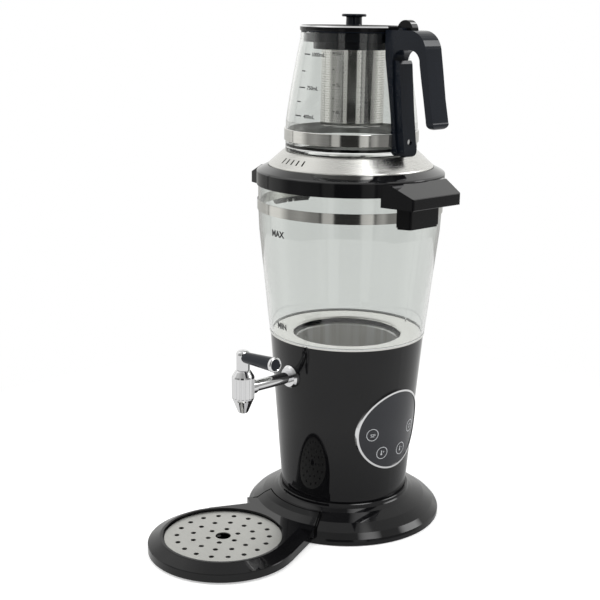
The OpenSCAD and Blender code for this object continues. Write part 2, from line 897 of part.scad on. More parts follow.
module steel_dome() {
    t = 0.9;
    flat_r = dome_r - 16.6;
    color(steel)
        difference() {
            spin([
                [dome_r, collar_ledge_z], [dome_r, dome_side_z], [dome_r - 0.6, dome_side_z + 0.9],
                [flat_r + 2.6, dome_top_z - 1.2], [flat_r + 1.2, dome_top_z - 0.2], [flat_r, dome_top_z],
                [pipe_hole_r + 0.7, dome_top_z], [pipe_hole_r - 0.9, dome_top_z - 0.5],
                [pipe_hole_r - 1.4, dome_top_z - 2.5], [pipe_hole_r - 0.5, dome_top_z - 2.5],
                [pipe_hole_r - 0.1, dome_top_z - 1.2], [pipe_hole_r + 0.9, dome_top_z - t],
                [flat_r - 0.2, dome_top_z - t], [flat_r + 0.7, dome_top_z - 1.1],
                [flat_r + 2, dome_top_z - 2.1], [dome_r - 1.5, dome_side_z + 0.3],
                [dome_r - t, dome_side_z - 0.6], [dome_r - t, collar_ledge_z]]);
            for (i = [0:slot_count - 1])
                rotate(-92 + (i - (slot_count - 1) / 2) * 5.5)
                    translate([dome_r - 10, -0.9, collar_ledge_z - 5])
                        cube([5.2, 1.8, dome_h + 20]);
        }
}

// Outer profile of the teapot's glass, from the base up
teapot_points = concat(
    [[65.4, dome_top_z], [66.6, dome_top_z + 0.4], [67.2, dome_top_z + 1.4]],
    [for (p = [[67.2, 7.5], [67.2, 22.5], [67, 29.5], [65.5, 41.6], [63.7, 53.6], [61.7, 65.6],
        [59.6, 77.5], [57.6, 89.4], [56.2, 97.3], [54.5, 105.1], [53.3, 110.5]])
        [p[0], dome_top_z + p[1] / 117.7 * teapot_h]],
    [[neck_r, neck_top_z - 0.8]]);

module teapot_glass() {
    inner = [for (i = [len(teapot_points) - 1:-1:3]) teapot_points[i] - [teapot_wall, 0]];
    color(clear_glass)
        spin(concat([[50, dome_top_z + 1.2], [52, dome_top_z]], teapot_points, [
            [neck_r - 0.6, neck_top_z], [neck_r - 1.8, neck_top_z]], inner,
            [[62, dome_top_z + 4.4], [0, dome_top_z + 3.6], [0, dome_top_z + 1.2]]));
}

module teapot_band() {
    color(steel)
        spin([
            [teapot_r + seat_gap, teapot_band_z], [teapot_band_r - 0.3, teapot_band_z],
            [teapot_band_r, teapot_band_z + 0.3], [teapot_band_r, teapot_band_top_z - 0.3],
            [teapot_band_r - 0.3, teapot_band_top_z], [teapot_r + seat_gap, teapot_band_top_z]]);
}

handle_points = concat(
    from_top([[55, 12.5], [55, 0.8], [55.8, 0], [86, 0]]),
    arc(86.5, handle_top_z - 21.5, 21.5, 85, 5, 10),
    from_top([[110.8, 35.5], [115.3, 62.8], [120, 84]]),
    arc(116, handle_end_z + 4.6, 4.6, 10, -170, 10),
    from_top([[110.9, 82.5], [107.1, 63.5], [103.2, 45], [100.4, 30.8]]),
    arc(88.4, handle_top_z - 30.1, 12, 0, 90, 6),
    arc(77.1, handle_top_z - 30.1, 12, 90, 172, 6),
    [[68.1, handle_foot_z + 54.2], [72.5, handle_foot_z + 16.1], [74.4, handle_foot_z + 5.6]],
    arc(70.4, handle_foot_z + 4, 4, 0, -90, 4),
    [[60, handle_foot_z]]);

// Points given as distance from the body axis and depth below the handle's top
function from_top(points) = [for (p = points) [p[0], handle_top_z - p[1]]];

module teapot_clearance(d) {
    spin(concat(
        [[0, dome_top_z - 12], [teapot_r + d, dome_top_z - 12], [teapot_r + d, teapot_points[4][1]]],
        [for (i = [5:len(teapot_points) - 1]) teapot_points[i] + [d, 0]],
        [[neck_r + d, lid_top_z + 25], [0, lid_top_z + 25]]));
    ring(teapot_band_r + d, 0, teapot_band_z - 2.4, teapot_band_top_z + 0.3);
}

// What is cut off the two lower corners of a leg between x0 and x1 to round them
module lower_corners(x0, x1, w, z, r) {
    for (s = [0, 1])
        mirror([0, s, 0])
            translate([x0, 0, 0])
                rotate([90, 0, 90])
                    linear_extrude(x1 - x0)
                        polygon(concat(arc(w / 2 - r, z + r, r, -90, 0, 5),
                            [[w / 2 + cut, z + r], [w / 2 + cut, z - cut], [w / 2 - r, z - cut]]));
}

module handle_grip() {
    color(black)
        difference() {
            union() {
                side_cut(handle_points, handle_w);
                along_y(cheek_r, -10, 10, hinge_x, hinge_z);
            }
            lower_corners(50, 95, handle_w, handle_foot_z, 7);
            lower_corners(105, 125, handle_w, handle_end_z, 6);
            teapot_clearance(0.1);
            along_y(barrel_r + 0.5, -barrel_w / 2 - slide_gap, barrel_w / 2 + slide_gap, hinge_x, hinge_z);
            along_y(hinge_pin_r + 0.02, -9.6, 9.6, hinge_x, hinge_z);
            along_x(screw_bore_r, 60, 90, 0, handle_screw_z);
        }
}

module handle_strap() {
    color(black)
        difference() {
            side_cut(concat(
                from_top([[65.25, 28.5], [71.6, 28.5], [73.2, 31.5]]),
                [for (p = [[77.5, 44.6], [81.2, 15.6], [82.6, 6.6]]) [p[0], handle_foot_z + p[1]]],
                arc(78.6, handle_foot_z + 3.4, 4, 5, -90, 5),
                [for (p = [[74.5, -0.6], [74.55, 5.6], [72.65, 16.1], [68.25, 54.2]])
                    [p[0], handle_foot_z + p[1]]]), strap_w);
            along_x(screw_bore_r + 0.2, 60, 90, 0, handle_screw_z);
            along_x(screw_head_r + 0.1, handle_screw_x, 90, 0, handle_screw_z);
            lower_corners(70, 90, strap_w, handle_foot_z - 0.6, 6);
        }
}

module handle_screw() {
    color(chrome) {
        along_x(screw_r, 69.5, handle_screw_x + 0.2, 0, handle_screw_z);
        along_x(screw_head_r, handle_screw_x, handle_screw_x + 1.4, 0, handle_screw_z);
    }
}

module hinge_pin() {
    color(steel)
        along_y(hinge_pin_r, -9.5, 9.5, hinge_x, hinge_z);
}

module infuser_collar() {
    color(black)
        spin([
            [infuser_r + 0.2, collar_skirt_z], [collar_bore_r + 0.4, collar_skirt_z],
            [collar_bore_r + 0.8, collar_skirt_z + 0.4], [collar_bore_r + 0.8, collar_step_z],
            [neck_bore_r - 0.9, collar_step_z], [neck_bore_r - 0.5, collar_step_z + 0.4],
            [neck_bore_r - 0.5, neck_top_z], [neck_r - 0.1, neck_top_z],
            [neck_r - 0.1, lid_bottom_z - 0.4], [neck_r - 0.5, lid_bottom_z],
            [collar_bore_r, lid_bottom_z], [collar_bore_r, infuser_seat_z],
            [infuser_r + 0.2, infuser_seat_z]]);
}

module infuser_basket() {
    color(steel)
        difference() {
            spin([
                [0, infuser_floor_z], [infuser_r - 1.5, infuser_floor_z], [infuser_r, infuser_floor_z + 1.5],
                [infuser_r, infuser_seat_z], [infuser_flange_r, infuser_seat_z],
                [infuser_flange_r, infuser_seat_z + basket_t],
                [infuser_r - basket_t, infuser_seat_z + basket_t],
                [infuser_r - basket_t, infuser_floor_z + 1.7],
                [infuser_r - 1.7, infuser_floor_z + basket_t], [0, infuser_floor_z + basket_t]]);
            for (z = [infuser_floor_z + 8:12:infuser_seat_z - 14])
                around(6)
                    along_x(1, 0, 60, 0, z);
        }
}

module teapot_lid() {
    color(black)
        difference() {
            union() {
                spin([
                    [0, lid_bottom_z], [lid_r - 0.6, lid_bottom_z], [lid_r, lid_bottom_z + 0.6],
                    [lid_r, lid_top_z - 1.4], [lid_r - 1.4, lid_top_z], [0, lid_top_z]]);
                translate([46, -barrel_w / 2 - 1, handle_top_z + slide_gap])
                    cube([22, barrel_w + 2, lid_top_z - handle_top_z - slide_gap]);
                along_y(barrel_r, -barrel_w / 2, barrel_w / 2, hinge_x, hinge_z);
            }
            along_y(hinge_pin_r + pin_fit, -20, 20, hinge_x, hinge_z);
            translate([0, 0, lid_bottom_z - cut])
                cylinder(h = 20, r = screw_bore_r);
        }
}

module lid_plug() {
    color(black)
        ring(plug_r, plug_r - 2.2, plug_bottom_z, lid_bottom_z);
}

module lid_knob() {
    color(black) {
        spin([
            [0, lid_top_z], [knob_neck_r + 0.7, lid_top_z], [knob_neck_r + 0.2, lid_top_z + 1],
            [knob_neck_r, knob_top_z - 3.3], [knob_neck_r + 0.6, knob_top_z - 2.8],
            [knob_r - 0.6, knob_top_z - 2.6], [knob_r, knob_top_z - 2],
            [knob_r, knob_top_z - 0.7], [knob_r - 0.7, knob_top_z], [0, knob_top_z]]);
        translate([0, 0, lid_bottom_z])
            cylinder(h = lid_top_z - lid_bottom_z, r = screw_r);
    }
}

module tap_stem() {
    color(chrome)
        translate([0, -tap_y, 0])
            difference() {
                spin(concat([
                    [0, spindle_bottom_z], [spindle_r, spindle_bottom_z], [spindle_r, stem_seat_z],
                    [stem_r - 0.4, stem_seat_z], [stem_r, stem_seat_z + 0.4]],
                    arc(stem_r - 4.4, stem_top_z - 4.7, 4.4, 0, 70, 7), [[0, stem_top_z]]));
                translate([0, 0, lever_z])
                    rotate([0, 90 - lever_rise, 0])
                        cylinder(h = 10, r = 2.6);
            }
}

module valve_plug() {
    color(rubber)
        difference() {
            translate([0, -tap_y, valve_bottom_z])
                cylinder(h = spindle_bottom_z - valve_bottom_z, r = valve_r);
            translate([-10, -tap_y, tap_z])
                rotate([0, 90, 0])
                    cylinder(h = 20, r = 2.2);
        }
}

module on_lever() {
    translate([0, -tap_y, lever_z])
        rotate([0, 90 - lever_rise, 0])
            children();
}

module lever_rod() {
    color(black)
        difference() {
            on_lever() {
                cylinder(h = lever_l - lever_end_l, r1 = 5.4, r2 = lever_end_r - 0.4);
                translate([0, 0, lever_l - lever_end_l - 0.1])
                    cylinder(h = lever_end_l - 0.5, r = spigot_r);
            }
            difference() {
                translate([0, -tap_y, lever_z - 20])
                    cylinder(h = 40, r = stem_r + 0.02);
                on_lever()
                    cylinder(h = 12, r = 2.55);
            }
            on_lever()
                translate([0, 0, -cut])
                    cylinder(h = cut + 0.4, r = 9);
        }
}

module lever_end() {
    color(chrome)
        on_lever()
            translate([0, 0, lever_l - lever_end_l])
                spin([
                    [spigot_r + seat_gap, 0], [lever_end_r - 0.5, 0], [lever_end_r, 0.5],
                    [lever_end_r, lever_end_l - 0.7], [lever_end_r - 0.7, lever_end_l],
                    [spigot_r + 0.5, lever_end_l], [spigot_r + seat_gap, lever_end_l - 0.5]]);
}

// Plan of the neck: tangent from the disc to the foot, inset by d
function neck_plan(d) =
    let (dx = neck_x, dy = tray_y - neck_y, reach = sqrt(dx * dx + dy * dy))
    let (beta = atan2(dy, dx) - acos(tray_r / reach))
    let (n = [cos(beta), sin(beta)])
    let (t = [0, -tray_y] + (tray_r - d) * n, e = [neck_x, -neck_y] - d * n)
    [t, e, [-e[0], e[1]], [-t[0], t[1]]];

module neck() {
    low = neck_plan(0);
    high = neck_plan(tray_r - rim_r);
    translate([0, 0, tray_bottom_z])
        linear_extrude(tray_wall_z - tray_bottom_z)
            polygon(low);
    points = concat(
        [for (p = low) [p[0], p[1], tray_wall_z - 0.01]],
        [for (p = high) [p[0], p[1], tray_rim_z]]);
    polyhedron(points, [[0, 1, 2, 3], [7, 6, 5, 4], [1, 0, 4, 5], [2, 1, 5, 6], [3, 2, 6, 7], [0, 3, 7, 4]]);
}

// Sector of the ring between two radii around the body axis, centred on -Y
module sector(r, half_angle, z0, z1) {
    translate([0, 0, z0])
        linear_extrude(z1 - z0)
            polygon([[0, 0], [-r * sin(half_angle), -r * cos(half_angle)], [0, -r * 1.2],
                [r * sin(half_angle), -r * cos(half_angle)]]);
}

module saddle() {
    radii = [saddle_inner_r + 0.8, foot_points[3][0], foot_r - 8, foot_r + 3];
    intersection() {
        spin(concat(
            [[saddle_inner_r, 8], [foot_r + 3, 8]],
            [for (i = [len(radii) - 1:-1:0])
                [radii[i], max(foot_height(radii[i]) + saddle_t, tray_rim_z - 0.4)]],
            [[saddle_inner_r, foot_height(saddle_inner_r) + saddle_t - 0.8]]));
        sector(140, saddle_half_angle, 0, 60);
    }
}

module foot_clearance() {
    spin(concat([[0, -cut], [foot_r + tray_clear, -cut]],
        [for (p = foot_points) p + [tray_clear, tray_clear]], [[foot_hub_r, 60], [0, 60]]));
}

module drip_tray() {
    color(black)
        difference() {
            union() {
                translate([0, -tray_y, 0])
                    spin([
                        [0, tray_foot_z], [tray_r - 10, tray_foot_z], [tray_r - 10, tray_bottom_z],
                        [tray_r - 0.4, tray_bottom_z], [tray_r, tray_bottom_z + 0.4],
                        [tray_r, tray_wall_z - 0.4], [tray_r - 0.5, tray_wall_z + 0.3],
                        [rim_r, tray_rim_z - 0.3], [rim_r - 0.8, tray_rim_z], [0, tray_rim_z]]);
                neck();
                saddle();
            }
            foot_clearance();
            translate([0, -tray_y, 2.6])
                cylinder(h = 40, r = plate_r - 2.5);
            translate([0, -tray_y, plate_seat_z])
                cylinder(h = 40, r = plate_r + 1.2);
        }
}

module drip_plate() {
    color(steel)
        translate([0, -tray_y, plate_seat_z])
            difference() {
                spin([
                    [0, 0], [plate_r, 0], [plate_r, plate_t - 0.3], [plate_r - 0.3, plate_t],
                    [0, plate_t]]);
                for (row = [[6, 15.6], [12, 31], [18, 46.8]])
                    around(row[0], 8)
                        translate([row[1], 0, -cut])
                            cylinder(h = 5, r = plate_hole_r, $fn = 24);
                translate([0, 0, -cut])
                    cylinder(h = 5, r = finger_hole_r);
            }
}

foot_skirt();
base_plate();
rubber_ring();
base_screws();
body_shell();
shell_screws();
well_deck();
well_gasket();
heating_well();
heater_plate();
heater_element();
temperature_probe();
thermal_cutout();
power_board();
board_screws();
board_relay();
board_transformer();
terminal_blocks();
control_board();
ribbon_cable();
panel_holder();
panel_ring();
panel_glass();
power_inlet();
inlet_pins();
inlet_screws();
mains_leads();
heater_leads();
tap_flange();
tap_pipe();
tap_washer();
tap_nut();
tap_body();
glass_vessel();
vessel_seal();
vessel_band();
side_grip_right();
side_grip_left();
grip_screws();
collar_ring();
lid_gasket();
lid_liner();
steel_dome();
teapot_glass();
teapot_band();
handle_grip();
handle_strap();
handle_screw();
hinge_pin();
infuser_collar();
infuser_basket();
teapot_lid();
lid_plug();
lid_knob();
tap_stem();
valve_plug();
lever_rod();
lever_end();
drip_tray();
drip_plate();
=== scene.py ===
"""Electric samovar: materials, marks, fine perforation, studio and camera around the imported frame."""

import json
import math

import bmesh
import bpy
from mathutils import Matrix, Vector


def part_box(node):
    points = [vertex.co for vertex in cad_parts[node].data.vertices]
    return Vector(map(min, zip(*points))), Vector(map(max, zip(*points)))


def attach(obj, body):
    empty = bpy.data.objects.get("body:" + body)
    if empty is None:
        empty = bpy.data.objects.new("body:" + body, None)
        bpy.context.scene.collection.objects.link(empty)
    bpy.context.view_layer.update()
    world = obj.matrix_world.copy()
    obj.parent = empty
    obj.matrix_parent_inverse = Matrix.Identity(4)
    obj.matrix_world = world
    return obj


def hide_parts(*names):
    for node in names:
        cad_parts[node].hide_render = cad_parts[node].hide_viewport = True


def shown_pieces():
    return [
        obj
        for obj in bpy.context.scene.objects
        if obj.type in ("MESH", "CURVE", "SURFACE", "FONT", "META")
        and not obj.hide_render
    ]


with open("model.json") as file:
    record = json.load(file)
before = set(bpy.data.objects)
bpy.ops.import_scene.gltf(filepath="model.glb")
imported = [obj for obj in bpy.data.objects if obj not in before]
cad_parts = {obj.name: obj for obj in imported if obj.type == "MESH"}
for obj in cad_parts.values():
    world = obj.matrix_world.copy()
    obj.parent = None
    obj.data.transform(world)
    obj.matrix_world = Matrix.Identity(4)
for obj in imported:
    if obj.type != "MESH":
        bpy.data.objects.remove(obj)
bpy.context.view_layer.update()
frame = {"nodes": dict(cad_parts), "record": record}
NODES = frame["nodes"]


# Shader helpers
class Shader:
    """A material's node tree with short calls for the nodes that this scene uses."""

    def __init__(self, name):
        self.material = bpy.data.materials.new(name)
        self.material.use_nodes = True
        self.tree = self.material.node_tree
        self.nodes = self.tree.nodes
        self.surface = self.nodes["Principled BSDF"]
        self.place = self.nodes.new("ShaderNodeTexCoord").outputs["Object"]

    def link(self, a, b):
        self.tree.links.new(a, b)

    def math(self, kind, a, b=0.0):
        node = self.nodes.new("ShaderNodeMath")
        node.operation = kind
        for socket, value in zip(node.inputs, (a, b)):
            if isinstance(value, (int, float)):
                socket.default_value = value
            else:
                self.link(value, socket)
        return node.outputs[0]

    def stretched(self, scale):
        node = self.nodes.new("ShaderNodeMapping")
        node.inputs["Scale"].default_value = scale
        self.link(self.place, node.inputs["Vector"])
        return node.outputs[0]

    def turned(self, around, along):
        """Coordinates of a piece turned about Z: fine across the lathe's lines, slow along them."""
        split = self.nodes.new("ShaderNodeSeparateXYZ")
        self.link(self.place, split.inputs[0])
        x, y, z = split.outputs
        squares = self.math("ADD", self.math("MULTIPLY", x, x), self.math("MULTIPLY", y, y))
        radius = self.math("SQRT", squares)
        angle = self.math("ARCTAN2", y, x)
        join = self.nodes.new("ShaderNodeCombineXYZ")
        self.link(self.math("MULTIPLY", radius, along), join.inputs[0])
        self.link(self.math("MULTIPLY", z, along), join.inputs[1])
        self.link(self.math("MULTIPLY", angle, around), join.inputs[2])
        return join.outputs[0]

    def noise(self, vector, scale=1.0, detail=3.0, rough=0.5):
        node = self.nodes.new("ShaderNodeTexNoise")
        node.inputs["Scale"].default_value = scale
        node.inputs["Detail"].default_value = detail
        node.inputs["Roughness"].default_value = rough
        self.link(vector, node.inputs["Vector"])
        return node.outputs["Fac"]

    def spread(self, factor, low, high, start=0.3, end=0.7):
        node = self.nodes.new("ShaderNodeMapRange")
        node.inputs["From Min"].default_value = start
        node.inputs["From Max"].default_value = end
        node.inputs["To Min"].default_value = low
        node.inputs["To Max"].default_value = high
        self.link(factor, node.inputs["Value"])
        return node.outputs[0]

    def ramp(self, factor, low, high):
        node = self.nodes.new("ShaderNodeValToRGB")
        node.color_ramp.elements[0].position = 0.3
        node.color_ramp.elements[1].position = 0.7
        node.color_ramp.elements[0].color = (*low, 1)
        node.color_ramp.elements[1].color = (*high, 1)
        self.link(factor, node.inputs[0])
        return node.outputs[0]

    def bump(self, height, distance, strength=1.0):
        node = self.nodes.new("ShaderNodeBump")
        node.inputs["Distance"].default_value = distance
        node.inputs["Strength"].default_value = strength
        self.link(height, node.inputs["Height"])
        self.link(node.outputs[0], self.surface.inputs["Normal"])

    def set(self, **values):
        for key, value in values.items():
            self.surface.inputs[key.replace("_", " ")].default_value = value


def shades(colour, by):
    return tuple(c * (1 - by) for c in colour), tuple(min(1, c * (1 + by)) for c in colour)


def moulded(name, colour, rough, grain, depth, vary=0.12, metallic=0.0, ior_level=0.5):
    """Moulded or cast stuff: slow changes of colour and roughness and a fine grain."""
    s = Shader(name)
    slow = s.noise(s.stretched((25, 25, 25)), detail=4)
    fine = s.noise(s.stretched((grain, grain, grain)), detail=2)
    s.link(s.ramp(slow, *shades(colour, vary)), s.surface.inputs["Base Color"])
    s.link(s.spread(slow, rough * 0.8, rough * 1.2), s.surface.inputs["Roughness"])
    s.bump(fine, depth)
    s.set(Metallic=metallic, Specular_IOR_Level=ior_level)
    return s.material


# Scales of the brushed lines: along X, upright round the axis and in rings round it
STRAIGHT_LINES = (40, 3000, 3000)
UPRIGHT_LINES = (5, 3)
RING_LINES = (3, 2600)
BRUSH_DEPTH = 0.000004


def brushed(name, colour, rough, vary=0.06, run="rings", metallic=1.0):
    """Steel with brushed lines that run in rings round the body axis, straight along X or upright."""
    s = Shader(name)
    if run == "straight":
        vector = s.stretched(STRAIGHT_LINES)
    elif run == "upright":
        vector = s.turned(*UPRIGHT_LINES)
    else:
        vector = s.turned(*RING_LINES)
    streak = s.noise(vector, detail=3, rough=0.6)
    slow = s.noise(s.stretched((18, 18, 18)), detail=3)
    s.link(s.ramp(streak, *shades(colour, vary)), s.surface.inputs["Base Color"])
    s.link(s.math("ADD", s.spread(streak, -0.04, 0.04), s.spread(slow, rough * 0.9, rough * 1.15)),
           s.surface.inputs["Roughness"])
    s.bump(streak, BRUSH_DEPTH)
    s.set(Metallic=metallic)
    return s.material


def dark_above(name, colour, level):
    """Satin steel whose upper side, above a level, is dark."""
    s = Shader(name)
    split = s.nodes.new("ShaderNodeSeparateXYZ")
    s.link(s.place, split.inputs[0])
    upper_share = s.spread(split.outputs[2], 0.0, 1.0, level - 0.0001, level + 0.0001)
    slow = s.noise(s.stretched((40, 40, 40)), detail=3)
    mix = s.nodes.new("ShaderNodeMix")
    mix.data_type = "RGBA"
    a, b = [i for i in mix.inputs if i.type == "RGBA"]
    s.link(upper_share, mix.inputs["Factor"])
    s.link(s.ramp(slow, *shades(colour, 0.05)), a)
    s.link(s.ramp(slow, *shades((0.006, 0.006, 0.006), 0.2)), b)
    s.link([o for o in mix.outputs if o.type == "RGBA"][0], s.surface.inputs["Base Color"])
    s.link(s.math("SUBTRACT", 1.0, upper_share), s.surface.inputs["Metallic"])
    s.link(s.spread(upper_share, 0.15, 0.6, 0.0, 1.0), s.surface.inputs["Roughness"])
    return s.material


def glass(name, tint):
    s = Shader(name)
    wave = s.noise(s.stretched((9, 9, 14)), detail=1)
    s.link(s.ramp(wave, *shades(tint, 0.008)), s.surface.inputs["Base Color"])
    s.bump(wave, 0.0004, 0.25)
    s.set(Roughness=0.0, IOR=1.5, Transmission_Weight=1.0)
    return s.material


PIANO_BLACK = (0.004, 0.004, 0.0045)
MATERIALS = {
    "gloss_black": moulded("gloss_black_mat", PIANO_BLACK, 0.045, 900, 0.000002, 0.2, ior_level=0.34),
    "matt_black": moulded("matt_black_mat", (0.028, 0.028, 0.03), 0.55, 2200, 0.00003),
    "satin_black": moulded("satin_black_mat", (0.006, 0.0078, 0.0118), 0.13, 1800, 0.000004, ior_level=0.24),
    "collar_black": moulded("collar_black_mat", PIANO_BLACK, 0.045, 900, 0.000002, 0.2, ior_level=0.24),
    "ledge_black": moulded("ledge_black_mat", PIANO_BLACK, 0.06, 900, 0.000002, 0.2, ior_level=0.85),
    "lid_black": moulded("lid_black_mat", (0.003, 0.003, 0.0034), 0.02, 700, 0.000001, 0.2, ior_level=0.16),
    "lid_top_black": moulded("lid_top_black_mat", PIANO_BLACK, 0.6, 1500, 0.00001, ior_level=0.15),
    # Near-black painted shade for faces and strips that stand in shadow: the dome's inside, the saddle's
    # edge and the line round the saddle
    "painted_shade_black": moulded("painted_shade_black_mat", (0.0016, 0.0016, 0.0016), 0.8, 900, 0.00001, ior_level=0.03),
    "black_rubber": moulded("black_rubber_mat", (0.018, 0.018, 0.018), 0.7, 1500, 0.00003),
    "zinc_steel": moulded("zinc_steel_mat", (0.6, 0.6, 0.57), 0.32, 900, 0.000006, metallic=1.0),
    "brushed_steel": brushed("brushed_steel_mat", (0.72, 0.714, 0.685), 0.085),
    "infuser_steel": brushed("infuser_steel_mat", (0.8, 0.79, 0.76), 0.05),
    # Paler, mostly diffuse steel for the band's inner faces: painted light that brightens them
    "band_inside": brushed("band_inside_mat", (0.9, 0.89, 0.87), 0.5, metallic=0.2),
    "plug_black": moulded("plug_black_mat", (0.03, 0.032, 0.031), 0.4, 1500, 0.00001, ior_level=0.3),
    "dome_steel": brushed("dome_steel_mat", (0.66, 0.655, 0.63), 0.27),
    "plate_steel": brushed("plate_steel_mat", (0.56, 0.56, 0.535), 0.36, vary=0.1, run="straight"),
    # The well's steel is paler and less metallic than the rest: partly its own warm steel, partly painted
    # light that brightens the inside of the deep cup
    "well_steel": brushed("well_steel_mat", (0.96, 0.93, 0.87), 0.3, vary=0.28, run="upright", metallic=0.4),
    "liner_steel": dark_above("liner_steel_mat", (0.63, 0.625, 0.6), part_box("lid_liner")[0].z + 0.0003),
    "cast_aluminium": moulded("cast_aluminium_mat", (0.62, 0.62, 0.63), 0.5, 700, 0.00004, metallic=1.0),
    "element_steel": moulded("element_steel_mat", (0.25, 0.25, 0.26), 0.5, 600, 0.00003, metallic=1.0),
    "brass_metal": moulded("brass_metal_mat", (0.72, 0.55, 0.26), 0.3, 900, 0.000006, metallic=1.0),
    "board_plastic": moulded("board_plastic_mat", (0.7, 0.7, 0.68), 0.5, 1400, 0.00002, 0.05),
    "green_board": moulded("green_board_mat", (0.03, 0.2, 0.07), 0.35, 1400, 0.00001, 0.15),
    "blue_plastic": moulded("blue_plastic_mat", (0.03, 0.11, 0.4), 0.3, 1400, 0.00001),
    "yellow_tape": moulded("yellow_tape_mat", (0.7, 0.5, 0.06), 0.4, 900, 0.00003),
    "chrome_trim": moulded("chrome_trim_mat", (0.78, 0.78, 0.79), 0.05, 500, 0.000002, 0.02, metallic=1.0),
    "panel_black": moulded("panel_black_mat", (0.012, 0.013, 0.017), 0.04, 500, 0.000001, 0.15),
    "brown_lead": moulded("brown_lead_mat", (0.16, 0.06, 0.02), 0.4, 1200, 0.00002),
    "red_lead": moulded("red_lead_mat", (0.45, 0.04, 0.02), 0.4, 1200, 0.00002),
    "clear_glass": glass("clear_glass_mat", (0.925, 0.937, 0.928)),
    "clear_silicone": moulded("clear_silicone_mat", (0.75, 0.77, 0.76), 0.35, 700, 0.00002, 0.05),
    "print_dark": moulded("print_dark_mat", (0.012, 0.012, 0.013), 0.4, 2500, 0.000004),
    "print_pale": moulded("print_pale_mat", (0.5, 0.51, 0.53), 0.4, 2500, 0.000004, 0.05),
}
SLOT_OF = {row["node"]: row["material_slot"] for row in frame["record"]["subparts"]}

# Nodes whose finish differs from their slot's usual one
FINISH_OF = {
    "drip_plate": "plate_steel", "heating_well": "well_steel", "lid_liner": "liner_steel",
    "teapot_lid": "lid_black", "lid_plug": "plug_black",
    "collar_ring": "collar_black", "side_grip_right": "collar_black", "side_grip_left": "collar_black",
    "steel_dome": "dome_steel",
}

for node_name, node_object in NODES.items():
    node_object.data.materials.clear()
    node_object.data.materials.append(MATERIALS[FINISH_OF.get(node_name, SLOT_OF[node_name])])


def refinish(node_name, material, wanted):
    """Gives a finish to the faces that wanted(centre, normal, share pointing away from the axis) picks."""
    mesh = NODES[node_name].data
    mesh.materials.append(MATERIALS[material])
    place = len(mesh.materials) - 1
    for face in mesh.polygons:
        away = Vector((face.center.x, face.center.y, 0)).normalized().dot(face.normal)
        if wanted(face.center, face.normal, away):
            face.material_index = place


# Where the tray's saddle ends on the foot
SADDLE_INNER_R = min(math.hypot(v.co.x, v.co.y) for v in NODES["drip_tray"].data.vertices)
SADDLE_EDGE_W = 0.0012
SADDLE_HALF_ANGLE = 30
SADDLE_LOW_Z = 0.012


def on_saddle_edge(centre, normal, away):
    radius = math.hypot(centre.x, centre.y)
    turned = abs(math.degrees(math.atan2(centre.x, -centre.y)))
    inner = away < -0.5 and radius < SADDLE_INNER_R + SADDLE_EDGE_W
    upright = abs(away) < 0.1 and abs(normal.z) < 0.1
    side = upright and abs(turned - SADDLE_HALF_ANGLE) < 2 and centre.z > SADDLE_LOW_Z
    return inner or side


# The lid's bevel: the rise of its normal, and a radius that only the disc's edge passes
BEVEL_RISE = 0.707
LID_EDGE_R = 0.05


def on_lid_bevel(centre, normal, away):
    return away > 0.6 and abs(normal.z - BEVEL_RISE) < 0.06 and math.hypot(centre.x, centre.y) > LID_EDGE_R


# The dome's inward faces and the walls of its slots get the near-black: painted shade inside the dome
refinish("steel_dome", "painted_shade_black", lambda centre, normal, away: away < 0.05 and normal.z < 0.3)
for wide in ("collar_ring", "side_grip_right", "side_grip_left"):
    refinish(wide, "ledge_black", lambda centre, normal, away: normal.z > 0.3)
refinish("teapot_lid", "lid_top_black", lambda centre, normal, away: normal.z > 0.98)
# The saddle's inner edge and side walls get the near-black: painted shade where they stand in shadow against
# the foot
refinish("drip_tray", "painted_shade_black", on_saddle_edge)
# The band's inner faces get the paler steel: painted light that brightens that side
refinish("teapot_band", "band_inside", lambda centre, normal, away: away < -0.5)
# The bright line on the lid is probably a reflection: the chrome stands in for it
refinish("teapot_lid", "chrome_trim", on_lid_bevel)


# Marks on the glass
def outer_radius(rows, z):
    for (z0, r0), (z1, r1) in zip(rows, rows[1:]):
        if z0 <= z <= z1:
            return r0 + (r1 - r0) * (z - z0) / (z1 - z0)
    return rows[-1][1]


def revolved_rows(node_name):
    """Heights and largest radii of a revolved node, read from its mesh."""
    rows = {}
    for vertex in NODES[node_name].data.vertices:
        key = round(vertex.co.z, 4)
        rows[key] = max(rows.get(key, 0.0), math.hypot(vertex.co.x, vertex.co.y))
    top = max(rows.values())
    return [row for row in sorted(rows.items()) if row[1] > 0.55 * top]


VESSEL_ROWS = revolved_rows("glass_vessel")
TEAPOT_ROWS = revolved_rows("teapot_glass")
PRINT_T = 0.00012
LETTER_BOLD = 0.035
PRINT_LIFT = 0.00004


def flat_letters(words, size, bold=LETTER_BOLD):
    """Outline of some letters as a flat mesh in the XY plane, its left end and base line at the origin."""
    curve = bpy.data.curves.new("letters", "FONT")
    curve.body = words
    curve.size = size
    curve.offset = bold * size
    curve.resolution_u = 3
    holder = bpy.data.objects.new("letters", curve)
    bpy.context.scene.collection.objects.link(holder)
    bpy.context.view_layer.update()
    mesh = bpy.data.meshes.new_from_object(holder.evaluated_get(bpy.context.evaluated_depsgraph_get()))
    bpy.data.objects.remove(holder)
    return mesh


def thick(mesh, height):
    """Gives a flat mesh a thickness along +Z."""
    work = bmesh.new()
    work.from_mesh(mesh)
    bmesh.ops.remove_doubles(work, verts=work.verts, dist=1e-7)
    bmesh.ops.triangulate(work, faces=work.faces)
    made = bmesh.ops.extrude_face_region(work, geom=list(work.faces))
    for item in made["geom"]:
        if isinstance(item, bmesh.types.BMVert):
            item.co.z += height
    bmesh.ops.recalc_face_normals(work, faces=work.faces)
    work.to_mesh(mesh)
    work.free()


def add_piece(name, mesh, body, material):
    mesh.materials.clear()
    mesh.materials.append(MATERIALS[material])
    piece = bpy.data.objects.new(name, mesh)
    bpy.context.scene.collection.objects.link(piece)
    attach(piece, body)
    return piece


